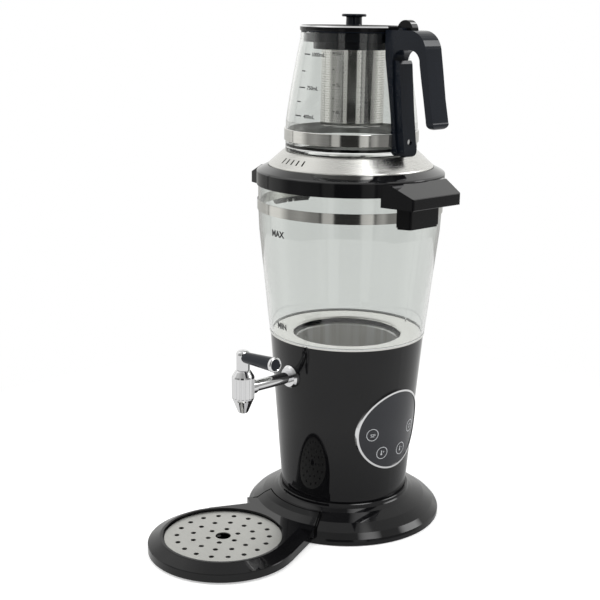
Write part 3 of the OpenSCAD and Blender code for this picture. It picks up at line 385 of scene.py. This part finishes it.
def print_round(name, mesh, azimuth, height, rows, body):
    """Lays a flat print on a revolved glass: x runs round the glass, y up."""
    thick(mesh, PRINT_T)
    middle = outer_radius(rows, height)
    for vertex in mesh.vertices:
        x, y, depth = vertex.co
        z = height + y
        radius = outer_radius(rows, z) + PRINT_LIFT + depth
        angle = math.radians(azimuth) + x / middle
        vertex.co = (radius * math.cos(angle), radius * math.sin(angle), z)
    return add_piece(name, mesh, body, "print_dark")


def bar_mesh(length, half):
    mesh = bpy.data.meshes.new("bar")
    count = 6
    points, faces = [], []
    for i in range(count + 1):
        x = length * i / count
        points += [(x, -half, 0), (x, half, 0)]
    for i in range(count):
        a = 2 * i
        faces.append((a, a + 2, a + 3, a + 1))
    mesh.from_pydata(points, [], faces)
    return mesh


VESSEL_LETTER = 0.0088
for words, azimuth, height in (("MAX", -99.0, 0.3122), ("MIN", -102.0, 0.2145)):
    letters = flat_letters(words, VESSEL_LETTER)
    print_round("vessel_mark_" + words.lower(), letters, azimuth, height, VESSEL_ROWS, "base")

TICK_AZIMUTH = -101.5
LABEL_AZIMUTH = -90.0
TEAPOT_LETTER = 0.0052
TEAPOT_BOLD = 0.02
LABEL_DROP = 0.0018
# Length and half width of the lines at the labels and between them
LONG_TICK = (0.0092, 0.00058)
SHORT_TICK = (0.0058, 0.0005)
for label, height in (("1000mL", 0.4891), ("750mL", 0.4573), ("400mL", 0.4300)):
    tick = bar_mesh(*LONG_TICK)
    print_round("teapot_tick_" + label, tick, TICK_AZIMUTH, height, TEAPOT_ROWS, "teapot")
    letters = flat_letters(label, TEAPOT_LETTER, TEAPOT_BOLD)
    print_round("teapot_label_" + label, letters, LABEL_AZIMUTH, height - LABEL_DROP, TEAPOT_ROWS, "teapot")
for height in (0.4730, 0.4436):
    tick = bar_mesh(*SHORT_TICK)
    print_round("teapot_tick_%d" % round(height * 10000), tick, TICK_AZIMUTH, height, TEAPOT_ROWS, "teapot")


# Touch marks on the panel
def cone_line(node_name):
    """Radius of a cone-shaped face as a line over height, from the widest points near its two ends."""
    points = [(v.co.z, math.hypot(v.co.x, v.co.y)) for v in NODES[node_name].data.vertices]
    lo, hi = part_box(node_name)
    third = (hi.z - lo.z) / 3
    z0, r0 = max((p for p in points if p[0] < lo.z + third), key=lambda p: p[1])
    z1, r1 = max(points, key=lambda p: p[1])
    return lambda z: r0 + (r1 - r0) * (z - z0) / (z1 - z0)


panel_radius = cone_line("panel_glass")


def ring_mesh(radius, half, x=0.0, y=0.0, a0=0.0, a1=360.0, count=48):
    """Flat ring or arc of a thin line."""
    mesh = bpy.data.meshes.new("ring")
    whole = a1 - a0 >= 359.9
    steps = count if whole else max(4, int(count * (a1 - a0) / 360))
    points, faces = [], []
    for i in range(steps if whole else steps + 1):
        angle = math.radians(a0 + (a1 - a0) * i / steps)
        for r in (radius - half, radius + half):
            points.append((x + r * math.cos(angle), y + r * math.sin(angle), 0))
    total = len(points) // 2
    for i in range(total if whole else total - 1):
        a, b = 2 * i, 2 * ((i + 1) % total)
        faces.append((a, a + 1, b + 1, b))
    mesh.from_pydata(points, [], faces)
    return mesh


def stroke_mesh(x0, y0, x1, y1, half):
    """Flat straight line of a given half width."""
    mesh = bpy.data.meshes.new("stroke")
    along = Vector((x1 - x0, y1 - y0)).normalized()
    side = Vector((-along.y, along.x)) * half
    ends = [Vector((x0, y0)), Vector((x1, y1))]
    points = [(*(p + s * side), 0) for p in ends for s in (-1, 1)]
    mesh.from_pydata(points, [], [(0, 2, 3, 1)])
    return mesh


def disc_mesh(x, y, radius, count=24):
    mesh = bpy.data.meshes.new("disc")
    turns = [2 * math.pi * i / count for i in range(count)]
    points = [(x + radius * math.cos(a), y + radius * math.sin(a), 0) for a in turns]
    mesh.from_pydata(points, [], [tuple(range(count))])
    return mesh


def thermometer(sign):
    parts = [stroke_mesh(-0.0008, -0.0004, -0.0008, 0.0028, 0.0005), disc_mesh(-0.0008, -0.0014, 0.0011)]
    parts.append(stroke_mesh(0.0008, 0.001, 0.0028, 0.001, 0.00022))
    if sign == "plus":
        parts.append(stroke_mesh(0.0018, 0.0, 0.0018, 0.002, 0.00022))
    return parts


def cup():
    bowl = ring_mesh(0.0018, 0.0003, 0, 0.0004, 180, 360)
    brim = stroke_mesh(-0.0021, 0.0005, 0.0021, 0.0005, 0.0003)
    handle = ring_mesh(0.0009, 0.00022, 0.0022, -0.0002, -90, 90)
    saucer = stroke_mesh(-0.0022, -0.0023, 0.0022, -0.0023, 0.0002)
    return [bowl, brim, handle, saucer]


def power():
    return [ring_mesh(0.0021, 0.0003, 0, -0.0002, 120, 420), stroke_mesh(0, 0.0002, 0, 0.0026, 0.0003)]


TOUCH_MARKS = {
    "cup": (-21.6, 0.109, cup()),
    "warmer": (-11.8, 0.087, thermometer("plus")),
    "cooler": (8.8, 0.086, thermometer("minus")),
    "power": (20.5, 0.1073, power()),
}
TOUCH_RING_R = 0.0064
TOUCH_LINE = 0.00038


def joined(parts):
    work = bmesh.new()
    for part in parts:
        work.from_mesh(part)
    mesh = bpy.data.meshes.new("mark")
    work.to_mesh(mesh)
    work.free()
    return mesh


for mark, (azimuth, height, parts) in TOUCH_MARKS.items():
    mesh = joined(parts + [ring_mesh(TOUCH_RING_R, TOUCH_LINE)])
    thick(mesh, PRINT_T)
    middle = panel_radius(height)
    for vertex in mesh.vertices:
        x, y, depth = vertex.co
        z = height + y
        angle = math.radians(azimuth) + x / middle
        radius = panel_radius(z) + PRINT_LIFT + depth
        vertex.co = (radius * math.cos(angle), radius * math.sin(angle), z)
    add_piece("touch_mark_" + mark, mesh, "base", "print_pale")


# Dark line round the tray's saddle on the foot: a strip of painted shade for the shadowed gap between the
# saddle and the foot
def ribbon_on(node_name, rows):
    """Thin strip laid on top of a node along rows of (radius, azimuth) points."""
    work = bmesh.new()
    lines = []
    for row in rows:
        line = []
        for radius, azimuth in row:
            a = math.radians(azimuth)
            above = Vector((radius * math.cos(a), radius * math.sin(a), 0.1))
            _, place, _, _ = NODES[node_name].ray_cast(above, Vector((0, 0, -1)))
            line.append(work.verts.new((above.x, above.y, place.z + PRINT_LIFT)))
        lines.append(line)
    for one, two in zip(lines, lines[1:]):
        for a, b, c, d in zip(one, one[1:], two[1:], two):
            work.faces.new((a, b, c, d))
    mesh = bpy.data.meshes.new("ribbon")
    work.to_mesh(mesh)
    work.free()
    thick(mesh, PRINT_T)
    return mesh


bpy.context.view_layer.update()
# Width of the line, its ends round the foot, its two sides' length, and the steps of each part
SEAM_W = 0.0013
SEAM_LEFT = -119.6
SEAM_RIGHT = -60.4
SEAM_SPAN = 59.2
SEAM_SIDE_L = 0.0205
ARC_STEPS = 48
SIDE_STEPS = 12
shadow_arc = []
for i in range(ARC_STEPS + 1):
    azimuth = SEAM_LEFT + i * SEAM_SPAN / ARC_STEPS
    shadow_arc.append([(SADDLE_INNER_R + 0.0001 + SEAM_W * k / 3, azimuth) for k in range(4)])
add_piece("tray_shadow_line_arc", ribbon_on("drip_tray", shadow_arc), "tray", "painted_shade_black")
for side, start in (("left", SEAM_LEFT), ("right", SEAM_RIGHT)):
    shadow_side = []
    for i in range(SIDE_STEPS + 1):
        radius = SADDLE_INNER_R + 0.0002 + i * SEAM_SIDE_L / SIDE_STEPS
        sweep = math.degrees(SEAM_W / radius) * (1 if side == "left" else -1)
        shadow_side.append([(radius, start), (radius, start + sweep)])
    add_piece("tray_shadow_line_" + side, ribbon_on("drip_tray", shadow_side), "tray", "painted_shade_black")


# Infuser with its fine perforation
# Outline of a square cell in eight points, which meet the eight points of the hole inside it
CELL = ((0.5, 0), (0.5, 0.5), (0, 0.5), (-0.5, 0.5), (-0.5, 0), (-0.5, -0.5), (0, -0.5), (0.5, -0.5))


def perforated_wall(radius, z0, z1, pitch, hole, thickness):
    """Cylinder wall with staggered round holes, both faces and the holes' edges."""
    across = round(2 * math.pi * radius / pitch)
    rows = int((z1 - z0) / pitch)
    cell = 2 * math.pi / across
    rise = (z1 - z0) / rows
    sides = len(CELL)
    work = bmesh.new()
    known = {}

    def vertex(angle, z, r):
        key = (round((angle % (2 * math.pi)) * 1e5), round(z * 1e6), round(r * 1e6))
        if key[0] >= round(2 * math.pi * 1e5):
            key = (0, key[1], key[2])
        if key not in known:
            known[key] = work.verts.new((r * math.cos(angle), r * math.sin(angle), z))
        return known[key]

    for j in range(rows):
        for i in range(across):
            centre = (i + 0.5 + 0.5 * (j % 2)) * cell
            middle = z0 + (j + 0.5) * rise
            for k in range(sides):
                a, b = CELL[k], CELL[(k + 1) % sides]
                ha, hb = math.radians(45 * k), math.radians(45 * (k + 1))
                for r, turned in ((radius, False), (radius - thickness, True)):
                    corner = [
                        vertex(centre + a[0] * cell, middle + a[1] * rise, r),
                        vertex(centre + b[0] * cell, middle + b[1] * rise, r),
                        vertex(centre + hole * math.cos(hb) / radius, middle + hole * math.sin(hb), r),
                        vertex(centre + hole * math.cos(ha) / radius, middle + hole * math.sin(ha), r),
                    ]
                    work.faces.new(corner[::-1] if turned else corner)
                edge = ((ha, radius), (hb, radius), (hb, radius - thickness), (ha, radius - thickness))
                work.faces.new([
                    vertex(centre + hole * math.cos(h) / radius, middle + hole * math.sin(h), r)
                    for h, r in edge
                ])
    for z, turned in ((z0, True), (z1, False)):
        for i in range(across * 2):
            a0, a1 = i * cell / 2, (i + 1) * cell / 2
            rim = [vertex(a0, z, radius), vertex(a1, z, radius), vertex(a1, z, radius - thickness),
                   vertex(a0, z, radius - thickness)]
            work.faces.new(rim[::-1] if turned else rim)
    mesh = bpy.data.meshes.new("perforated")
    bmesh.ops.recalc_face_normals(work, faces=work.faces)
    work.to_mesh(mesh)
    work.free()
    return mesh


def revolve(points, count=96):
    """Closed ring-shaped mesh from an outline of radius and height."""
    vertices, faces = [], []
    n = len(points)
    for i in range(count):
        angle = 2 * math.pi * i / count
        vertices += [(r * math.cos(angle), r * math.sin(angle), z) for r, z in points]
    for i in range(count):
        for k in range(n):
            a, b = i * n + k, i * n + (k + 1) % n
            c, d = ((i + 1) % count) * n + (k + 1) % n, ((i + 1) % count) * n + k
            faces.append((a, b, c, d))
    mesh = bpy.data.meshes.new("revolved")
    mesh.from_pydata(vertices, [], faces)
    work = bmesh.new()
    work.from_mesh(mesh)
    bmesh.ops.remove_doubles(work, verts=work.verts, dist=1e-7)
    bmesh.ops.recalc_face_normals(work, faces=work.faces)
    work.to_mesh(mesh)
    work.free()
    return mesh


basket_lo, basket_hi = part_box("infuser_basket")
BASKET_R = 0.032
BASKET_FLANGE_R = 0.0355
SHEET = 0.0005
HOLE_PITCH = 0.0023
HOLE_R = 0.00042
floor_z, seat_z = basket_lo.z, basket_hi.z
wall_z0, wall_z1 = floor_z + 0.005, seat_z - 0.009
floor_outline = [
    (0.0, floor_z), (BASKET_R - 0.0015, floor_z), (BASKET_R - 0.0004, floor_z + 0.0005),
    (BASKET_R, floor_z + 0.0015), (BASKET_R, wall_z0), (BASKET_R - SHEET, wall_z0),
    (BASKET_R - SHEET, floor_z + 0.0017), (BASKET_R - 0.0017, floor_z + SHEET), (0.0, floor_z + SHEET),
]
rim_outline = [
    (BASKET_R, wall_z1), (BASKET_R, seat_z - SHEET), (BASKET_FLANGE_R, seat_z - SHEET),
    (BASKET_FLANGE_R, seat_z), (BASKET_R - SHEET, seat_z), (BASKET_R - SHEET, wall_z1),
]
wall = perforated_wall(BASKET_R, wall_z0, wall_z1, HOLE_PITCH, HOLE_R, SHEET)
for name, mesh, finish in (
        ("infuser_wall", wall, "infuser_steel"),
        ("infuser_floor", revolve(floor_outline), "brushed_steel"),
        ("infuser_rim", revolve(rim_outline), "brushed_steel")):
    piece = add_piece(name, mesh, "teapot", finish)
    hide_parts("infuser_basket")


# Shading of round faces
SHARP_ANGLE = 32
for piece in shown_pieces():
    if piece.type == "MESH" and len(piece.data.polygons) > 0:
        piece.data.shade_smooth()
        piece.data.set_sharp_from_angle(angle=math.radians(SHARP_ANGLE))


# Camera
PHOTO_TURN = 45.8
CAMERA_DISTANCE = 1.180
CAMERA_HEIGHT = 0.534
CAMERA_YAW = -2.44
CAMERA_PITCH = 14.32
CAMERA_ROLL = 0.75
LENS = 68.96

turn = Matrix.Rotation(math.radians(PHOTO_TURN), 3, "Z")
yaw, pitch, roll = (math.radians(a) for a in (CAMERA_YAW, CAMERA_PITCH, CAMERA_ROLL))
look = Vector((math.sin(yaw) * math.cos(pitch), math.cos(yaw) * math.cos(pitch), -math.sin(pitch)))
right = Vector((math.cos(yaw), -math.sin(yaw), 0))
up = right.cross(look)
right, up = right * math.cos(roll) + up * math.sin(roll), up * math.cos(roll) - right * math.sin(roll)
axes = turn @ Matrix((right, up, -look)).transposed()
camera_data = bpy.data.cameras.new("camera")
camera_data.lens = LENS
camera_data.sensor_width = 36
camera = bpy.data.objects.new("camera", camera_data)
camera.matrix_world = Matrix.Translation(turn @ Vector((0, -CAMERA_DISTANCE, CAMERA_HEIGHT))) @ axes.to_4x4()
bpy.context.scene.collection.objects.link(camera)
bpy.context.scene.camera = camera
CAMERA_AZIMUTH = PHOTO_TURN - 90


# Studio
def stops_ramp(tree, factor, stops):
    """Grey ramp over a turn of azimuth, from stops of degrees and brightness."""
    share = tree.nodes.new("ShaderNodeMapRange")
    share.inputs["From Min"].default_value = -math.pi
    share.inputs["From Max"].default_value = math.pi
    tree.links.new(factor, share.inputs["Value"])
    ramp = tree.nodes.new("ShaderNodeValToRGB")
    elements = ramp.color_ramp.elements
    while len(elements) < len(stops):
        elements.new(0.5)
    for element, (degrees, value) in zip(elements, stops):
        element.position = (degrees + 180) / 360
        element.color = (value, value, value * 0.985, 1)
    tree.links.new(share.outputs[0], ramp.inputs[0])
    return ramp.outputs[0]


# Azimuth from the front side, negative to the left seen from there, and brightness of the studio's walls
WALL_STOPS = [
    (-180, 1.0), (-122, 1.0), (-119, 0.35), (-116, 1.0), (-95, 0.95), (-87, 0.62), (-79, 0.33), (-62, 0.4),
    (-48, 0.26), (-38, 0.24), (-35, 0.06), (-32, 0.56), (-20, 0.58), (-18, 0.03), (12.5, 0.03), (15, 0.6),
    (28, 0.76), (31, 0.08), (34, 0.34), (42, 0.48), (48, 0.24), (75, 0.26), (82, 0.4), (94, 0.6),
    (106, 0.95), (180, 1.0),
]
# The same for the soft lights above them
UPPER_STOPS = [
    (-180, 0.6), (-142, 0.5), (-128, 1.1), (-104, 1.3), (-85, 0.95), (-45, 0.55), (0, 0.38), (45, 0.5),
    (100, 0.66), (130, 0.8), (180, 0.85),
]
# Soft boxes that glossy faces mirror, as azimuth, elevation, half angle and level
SOFT_BOXES = ((56, 66, 15, 8), (102, 35, 15, 6))
# Share of the walls' level that is left below the horizon, by azimuth
BELOW_STOPS = [(-180, 0.5), (-128, 0.52), (-112, 0.86), (112, 0.86), (128, 0.52), (180, 0.5)]
# The pale backdrop as it is seen through glass
BEHIND_GLASS = (0.69, 0.705, 0.69, 1)
CEILING = (0.72, 0.72, 0.71, 1)
WHITE = (1, 1, 1, 1)
# Sines of the elevations between which the walls pass into the soft lights, these into the ceiling,
# and the walls into the part below the horizon
UPPER_BAND = (0.42, 0.68)
CEILING_BAND = (0.85, 0.99)
BELOW_BAND = (-0.14, 0.0)
# Share of a soft box's half angle that has its full level
SOFT_CORE = 0.4
# Level that diffuse rays find in every direction
DIFFUSE_LEVEL = 0.62


def mix_colours(tree, factor, a, b):
    node = tree.nodes.new("ShaderNodeMix")
    node.data_type = "RGBA"
    tree.links.new(factor, node.inputs["Factor"])
    for key, value in (("A", a), ("B", b)):
        socket = [i for i in node.inputs if i.name == key and i.type == "RGBA"][0]
        if isinstance(value, tuple):
            socket.default_value = value
        else:
            tree.links.new(value, socket)
    return [o for o in node.outputs if o.type == "RGBA"][0]


def share_between(tree, value, low, high):
    """0 where the value is at the low end, 1 at the high end."""
    node = tree.nodes.new("ShaderNodeMapRange")
    node.inputs["From Min"].default_value = low
    node.inputs["From Max"].default_value = high
    tree.links.new(value, node.inputs["Value"])
    return node.outputs[0]


def ray_kinds(tree):
    """1 for a ray that has bounced off something glossy, for a diffuse one, and for one through glass."""
    rays = tree.nodes.new("ShaderNodeLightPath")
    found = []
    for depth in ("Glossy Depth", "Transmission Depth"):
        node = tree.nodes.new("ShaderNodeMath")
        node.operation = "MINIMUM"
        node.inputs[1].default_value = 1.0
        tree.links.new(rays.outputs[depth], node.inputs[0])
        found.append(node.outputs[0])
    return found[0], rays.outputs["Is Diffuse Ray"], found[1]


def make_world():
    world = bpy.data.worlds.new("studio")
    bpy.context.scene.world = world
    world.use_nodes = True
    tree = world.node_tree
    nodes, links = tree.nodes, tree.links
    turned = nodes.new("ShaderNodeVectorRotate")
    turned.rotation_type = "Z_AXIS"
    turned.inputs["Angle"].default_value = math.radians(-CAMERA_AZIMUTH)
    links.new(nodes.new("ShaderNodeTexCoord").outputs["Generated"], turned.inputs["Vector"])
    split = nodes.new("ShaderNodeSeparateXYZ")
    links.new(turned.outputs[0], split.inputs[0])
    angle = nodes.new("ShaderNodeMath")
    angle.operation = "ARCTAN2"
    links.new(split.outputs[1], angle.inputs[0])
    links.new(split.outputs[0], angle.inputs[1])
    walls = stops_ramp(tree, angle.outputs[0], WALL_STOPS)
    upper = stops_ramp(tree, angle.outputs[0], UPPER_STOPS)
    room = mix_colours(tree, share_between(tree, split.outputs[2], *UPPER_BAND), walls, upper)
    room = mix_colours(tree, share_between(tree, split.outputs[2], *CEILING_BAND), room, CEILING)
    clear = nodes.new("ShaderNodeMath")
    clear.operation = "LESS_THAN"
    clear.inputs[1].default_value = 0.5
    links.new(nodes.new("ShaderNodeLightPath").outputs["Transmission Depth"], clear.inputs[0])
    untouched = clear.outputs[0]
    for azimuth, elevation, spread, level in SOFT_BOXES:
        a, e = math.radians(azimuth), math.radians(elevation)
        near = nodes.new("ShaderNodeVectorMath")
        near.operation = "DOT_PRODUCT"
        near.inputs[1].default_value = (math.cos(a) * math.cos(e), math.sin(a) * math.cos(e), math.sin(e))
        links.new(turned.outputs[0], near.inputs[0])
        outer, core = (math.cos(math.radians(angle_to)) for angle_to in (spread, spread * SOFT_CORE))
        box = share_between(tree, near.outputs["Value"], outer, core)
        direct = nodes.new("ShaderNodeMath")
        direct.operation = "MULTIPLY"
        links.new(box, direct.inputs[0])
        links.new(untouched, direct.inputs[1])
        room = mix_colours(tree, direct.outputs[0], room, (level, level, level, 1))
    below = mix_colours(tree, share_between(tree, split.outputs[2], *BELOW_BAND),
                        stops_ramp(tree, angle.outputs[0], BELOW_STOPS), WHITE)
    lowered = nodes.new("ShaderNodeVectorMath")
    lowered.operation = "MULTIPLY"
    links.new(room, lowered.inputs[0])
    links.new(below, lowered.inputs[1])
    glossy, diffuse, through = ray_kinds(tree)
    plain = mix_colours(tree, through, WHITE, BEHIND_GLASS)
    seen = mix_colours(tree, glossy, plain, lowered.outputs[0])
    final = mix_colours(tree, diffuse, seen, (DIFFUSE_LEVEL, DIFFUSE_LEVEL, DIFFUSE_LEVEL, 1))
    background = nodes["Background"]
    links.new(final, background.inputs["Color"])
    background.inputs["Strength"].default_value = 1.0


FLOOR_R = 1.15
FLOOR_COLOUR = (0.86, 0.86, 0.855, 1)
FLOOR_LIFT = 0.42
# Distances from the axis between which the table top fades to white
FLOOR_FADE = (0.26, 0.6)
# What glossy faces find in the table top: near the foot a darker grey, a painted shadow of the object,
# further out an even pale grey, and the distances between the two
MIRRORED_FLOOR_SHADOW = (0.55, 0.55, 0.55, 1)
FAR_MIRRORED = (0.84, 0.84, 0.84 * 0.99, 1)
MIRROR_FADE = (0.13, 0.27)


def make_floor():
    """Plain pale round table top that keeps the object's shadow and fades to white away from it; what glossy
    faces find in it is darkened near the foot by a painted shadow.
    """
    mesh = bpy.data.meshes.new("floor")
    count = 128
    turns = [2 * math.pi * i / count for i in range(count)]
    points = [(FLOOR_R * math.cos(a), FLOOR_R * math.sin(a), 0) for a in turns]
    mesh.from_pydata(points, [], [tuple(range(count))])
    floor = bpy.data.objects.new("floor", mesh)
    bpy.context.scene.collection.objects.link(floor)
    material = bpy.data.materials.new("floor_mat")
    material.use_nodes = True
    mesh.materials.append(material)
    tree = material.node_tree
    nodes, links = tree.nodes, tree.links
    shader = nodes["Principled BSDF"]
    shader.inputs["Base Color"].default_value = FLOOR_COLOUR
    shader.inputs["Roughness"].default_value = 0.8
    shader.inputs["Specular IOR Level"].default_value = 0.0
    length = nodes.new("ShaderNodeVectorMath")
    length.operation = "LENGTH"
    links.new(nodes.new("ShaderNodeTexCoord").outputs["Object"], length.inputs[0])
    lift = nodes.new("ShaderNodeEmission")
    lift.inputs["Color"].default_value = WHITE
    lift.inputs["Strength"].default_value = FLOOR_LIFT
    lit = nodes.new("ShaderNodeAddShader")
    links.new(shader.outputs[0], lit.inputs[0])
    links.new(lift.outputs[0], lit.inputs[1])
    white = nodes.new("ShaderNodeEmission")
    white.inputs["Color"].default_value = WHITE
    faded = nodes.new("ShaderNodeMixShader")
    links.new(share_between(tree, length.outputs["Value"], *FLOOR_FADE), faded.inputs[0])
    links.new(lit.outputs[0], faded.inputs[1])
    links.new(white.outputs[0], faded.inputs[2])
    mirrored = nodes.new("ShaderNodeEmission")
    shade = share_between(tree, length.outputs["Value"], *MIRROR_FADE)
    links.new(mix_colours(tree, shade, MIRRORED_FLOOR_SHADOW, FAR_MIRRORED), mirrored.inputs["Color"])
    glossy, diffuse, through = ray_kinds(tree)
    behind = nodes.new("ShaderNodeEmission")
    behind.inputs["Color"].default_value = BEHIND_GLASS
    plain = nodes.new("ShaderNodeMixShader")
    links.new(through, plain.inputs[0])
    links.new(faded.outputs[0], plain.inputs[1])
    links.new(behind.outputs[0], plain.inputs[2])
    seen = nodes.new("ShaderNodeMixShader")
    links.new(glossy, seen.inputs[0])
    links.new(plain.outputs[0], seen.inputs[1])
    links.new(mirrored.outputs[0], seen.inputs[2])
    final = nodes.new("ShaderNodeMixShader")
    links.new(diffuse, final.inputs[0])
    links.new(seen.outputs[0], final.inputs[1])
    links.new(shader.outputs[0], final.inputs[2])
    links.new(final.outputs[0], nodes["Material Output"].inputs["Surface"])


OBJECT_MIDDLE_Z = 0.27


def area_lamp(name, azimuth, elevation, distance, width, height, watts):
    """Soft lamp that faces the object's middle."""
    target = Vector((0, 0, OBJECT_MIDDLE_Z))
    a, e = math.radians(azimuth), math.radians(elevation)
    place = target + distance * Vector((math.cos(a) * math.cos(e), math.sin(a) * math.cos(e), math.sin(e)))
    data = bpy.data.lights.new(name, "AREA")
    data.shape = "RECTANGLE"
    data.size, data.size_y, data.energy = width, height, watts
    lamp = bpy.data.objects.new(name, data)
    lamp.location = place
    lamp.rotation_mode = "QUATERNION"
    lamp.rotation_quaternion = (target - place).to_track_quat("-Z", "Y")
    lamp.visible_camera = False
    lamp.visible_transmission = False
    lamp.visible_glossy = False
    bpy.context.scene.collection.objects.link(lamp)


make_world()
make_floor()
area_lamp("lamp_left", CAMERA_AZIMUTH - 75, 35, 1.6, 0.9, 1.1, 9)
area_lamp("lamp_right", CAMERA_AZIMUTH + 70, 30, 1.6, 0.8, 1.1, 7)
area_lamp("lamp_top", CAMERA_AZIMUTH, 82, 1.5, 1.3, 1.3, 8)

bpy.context.scene.view_settings.view_transform = "Standard"
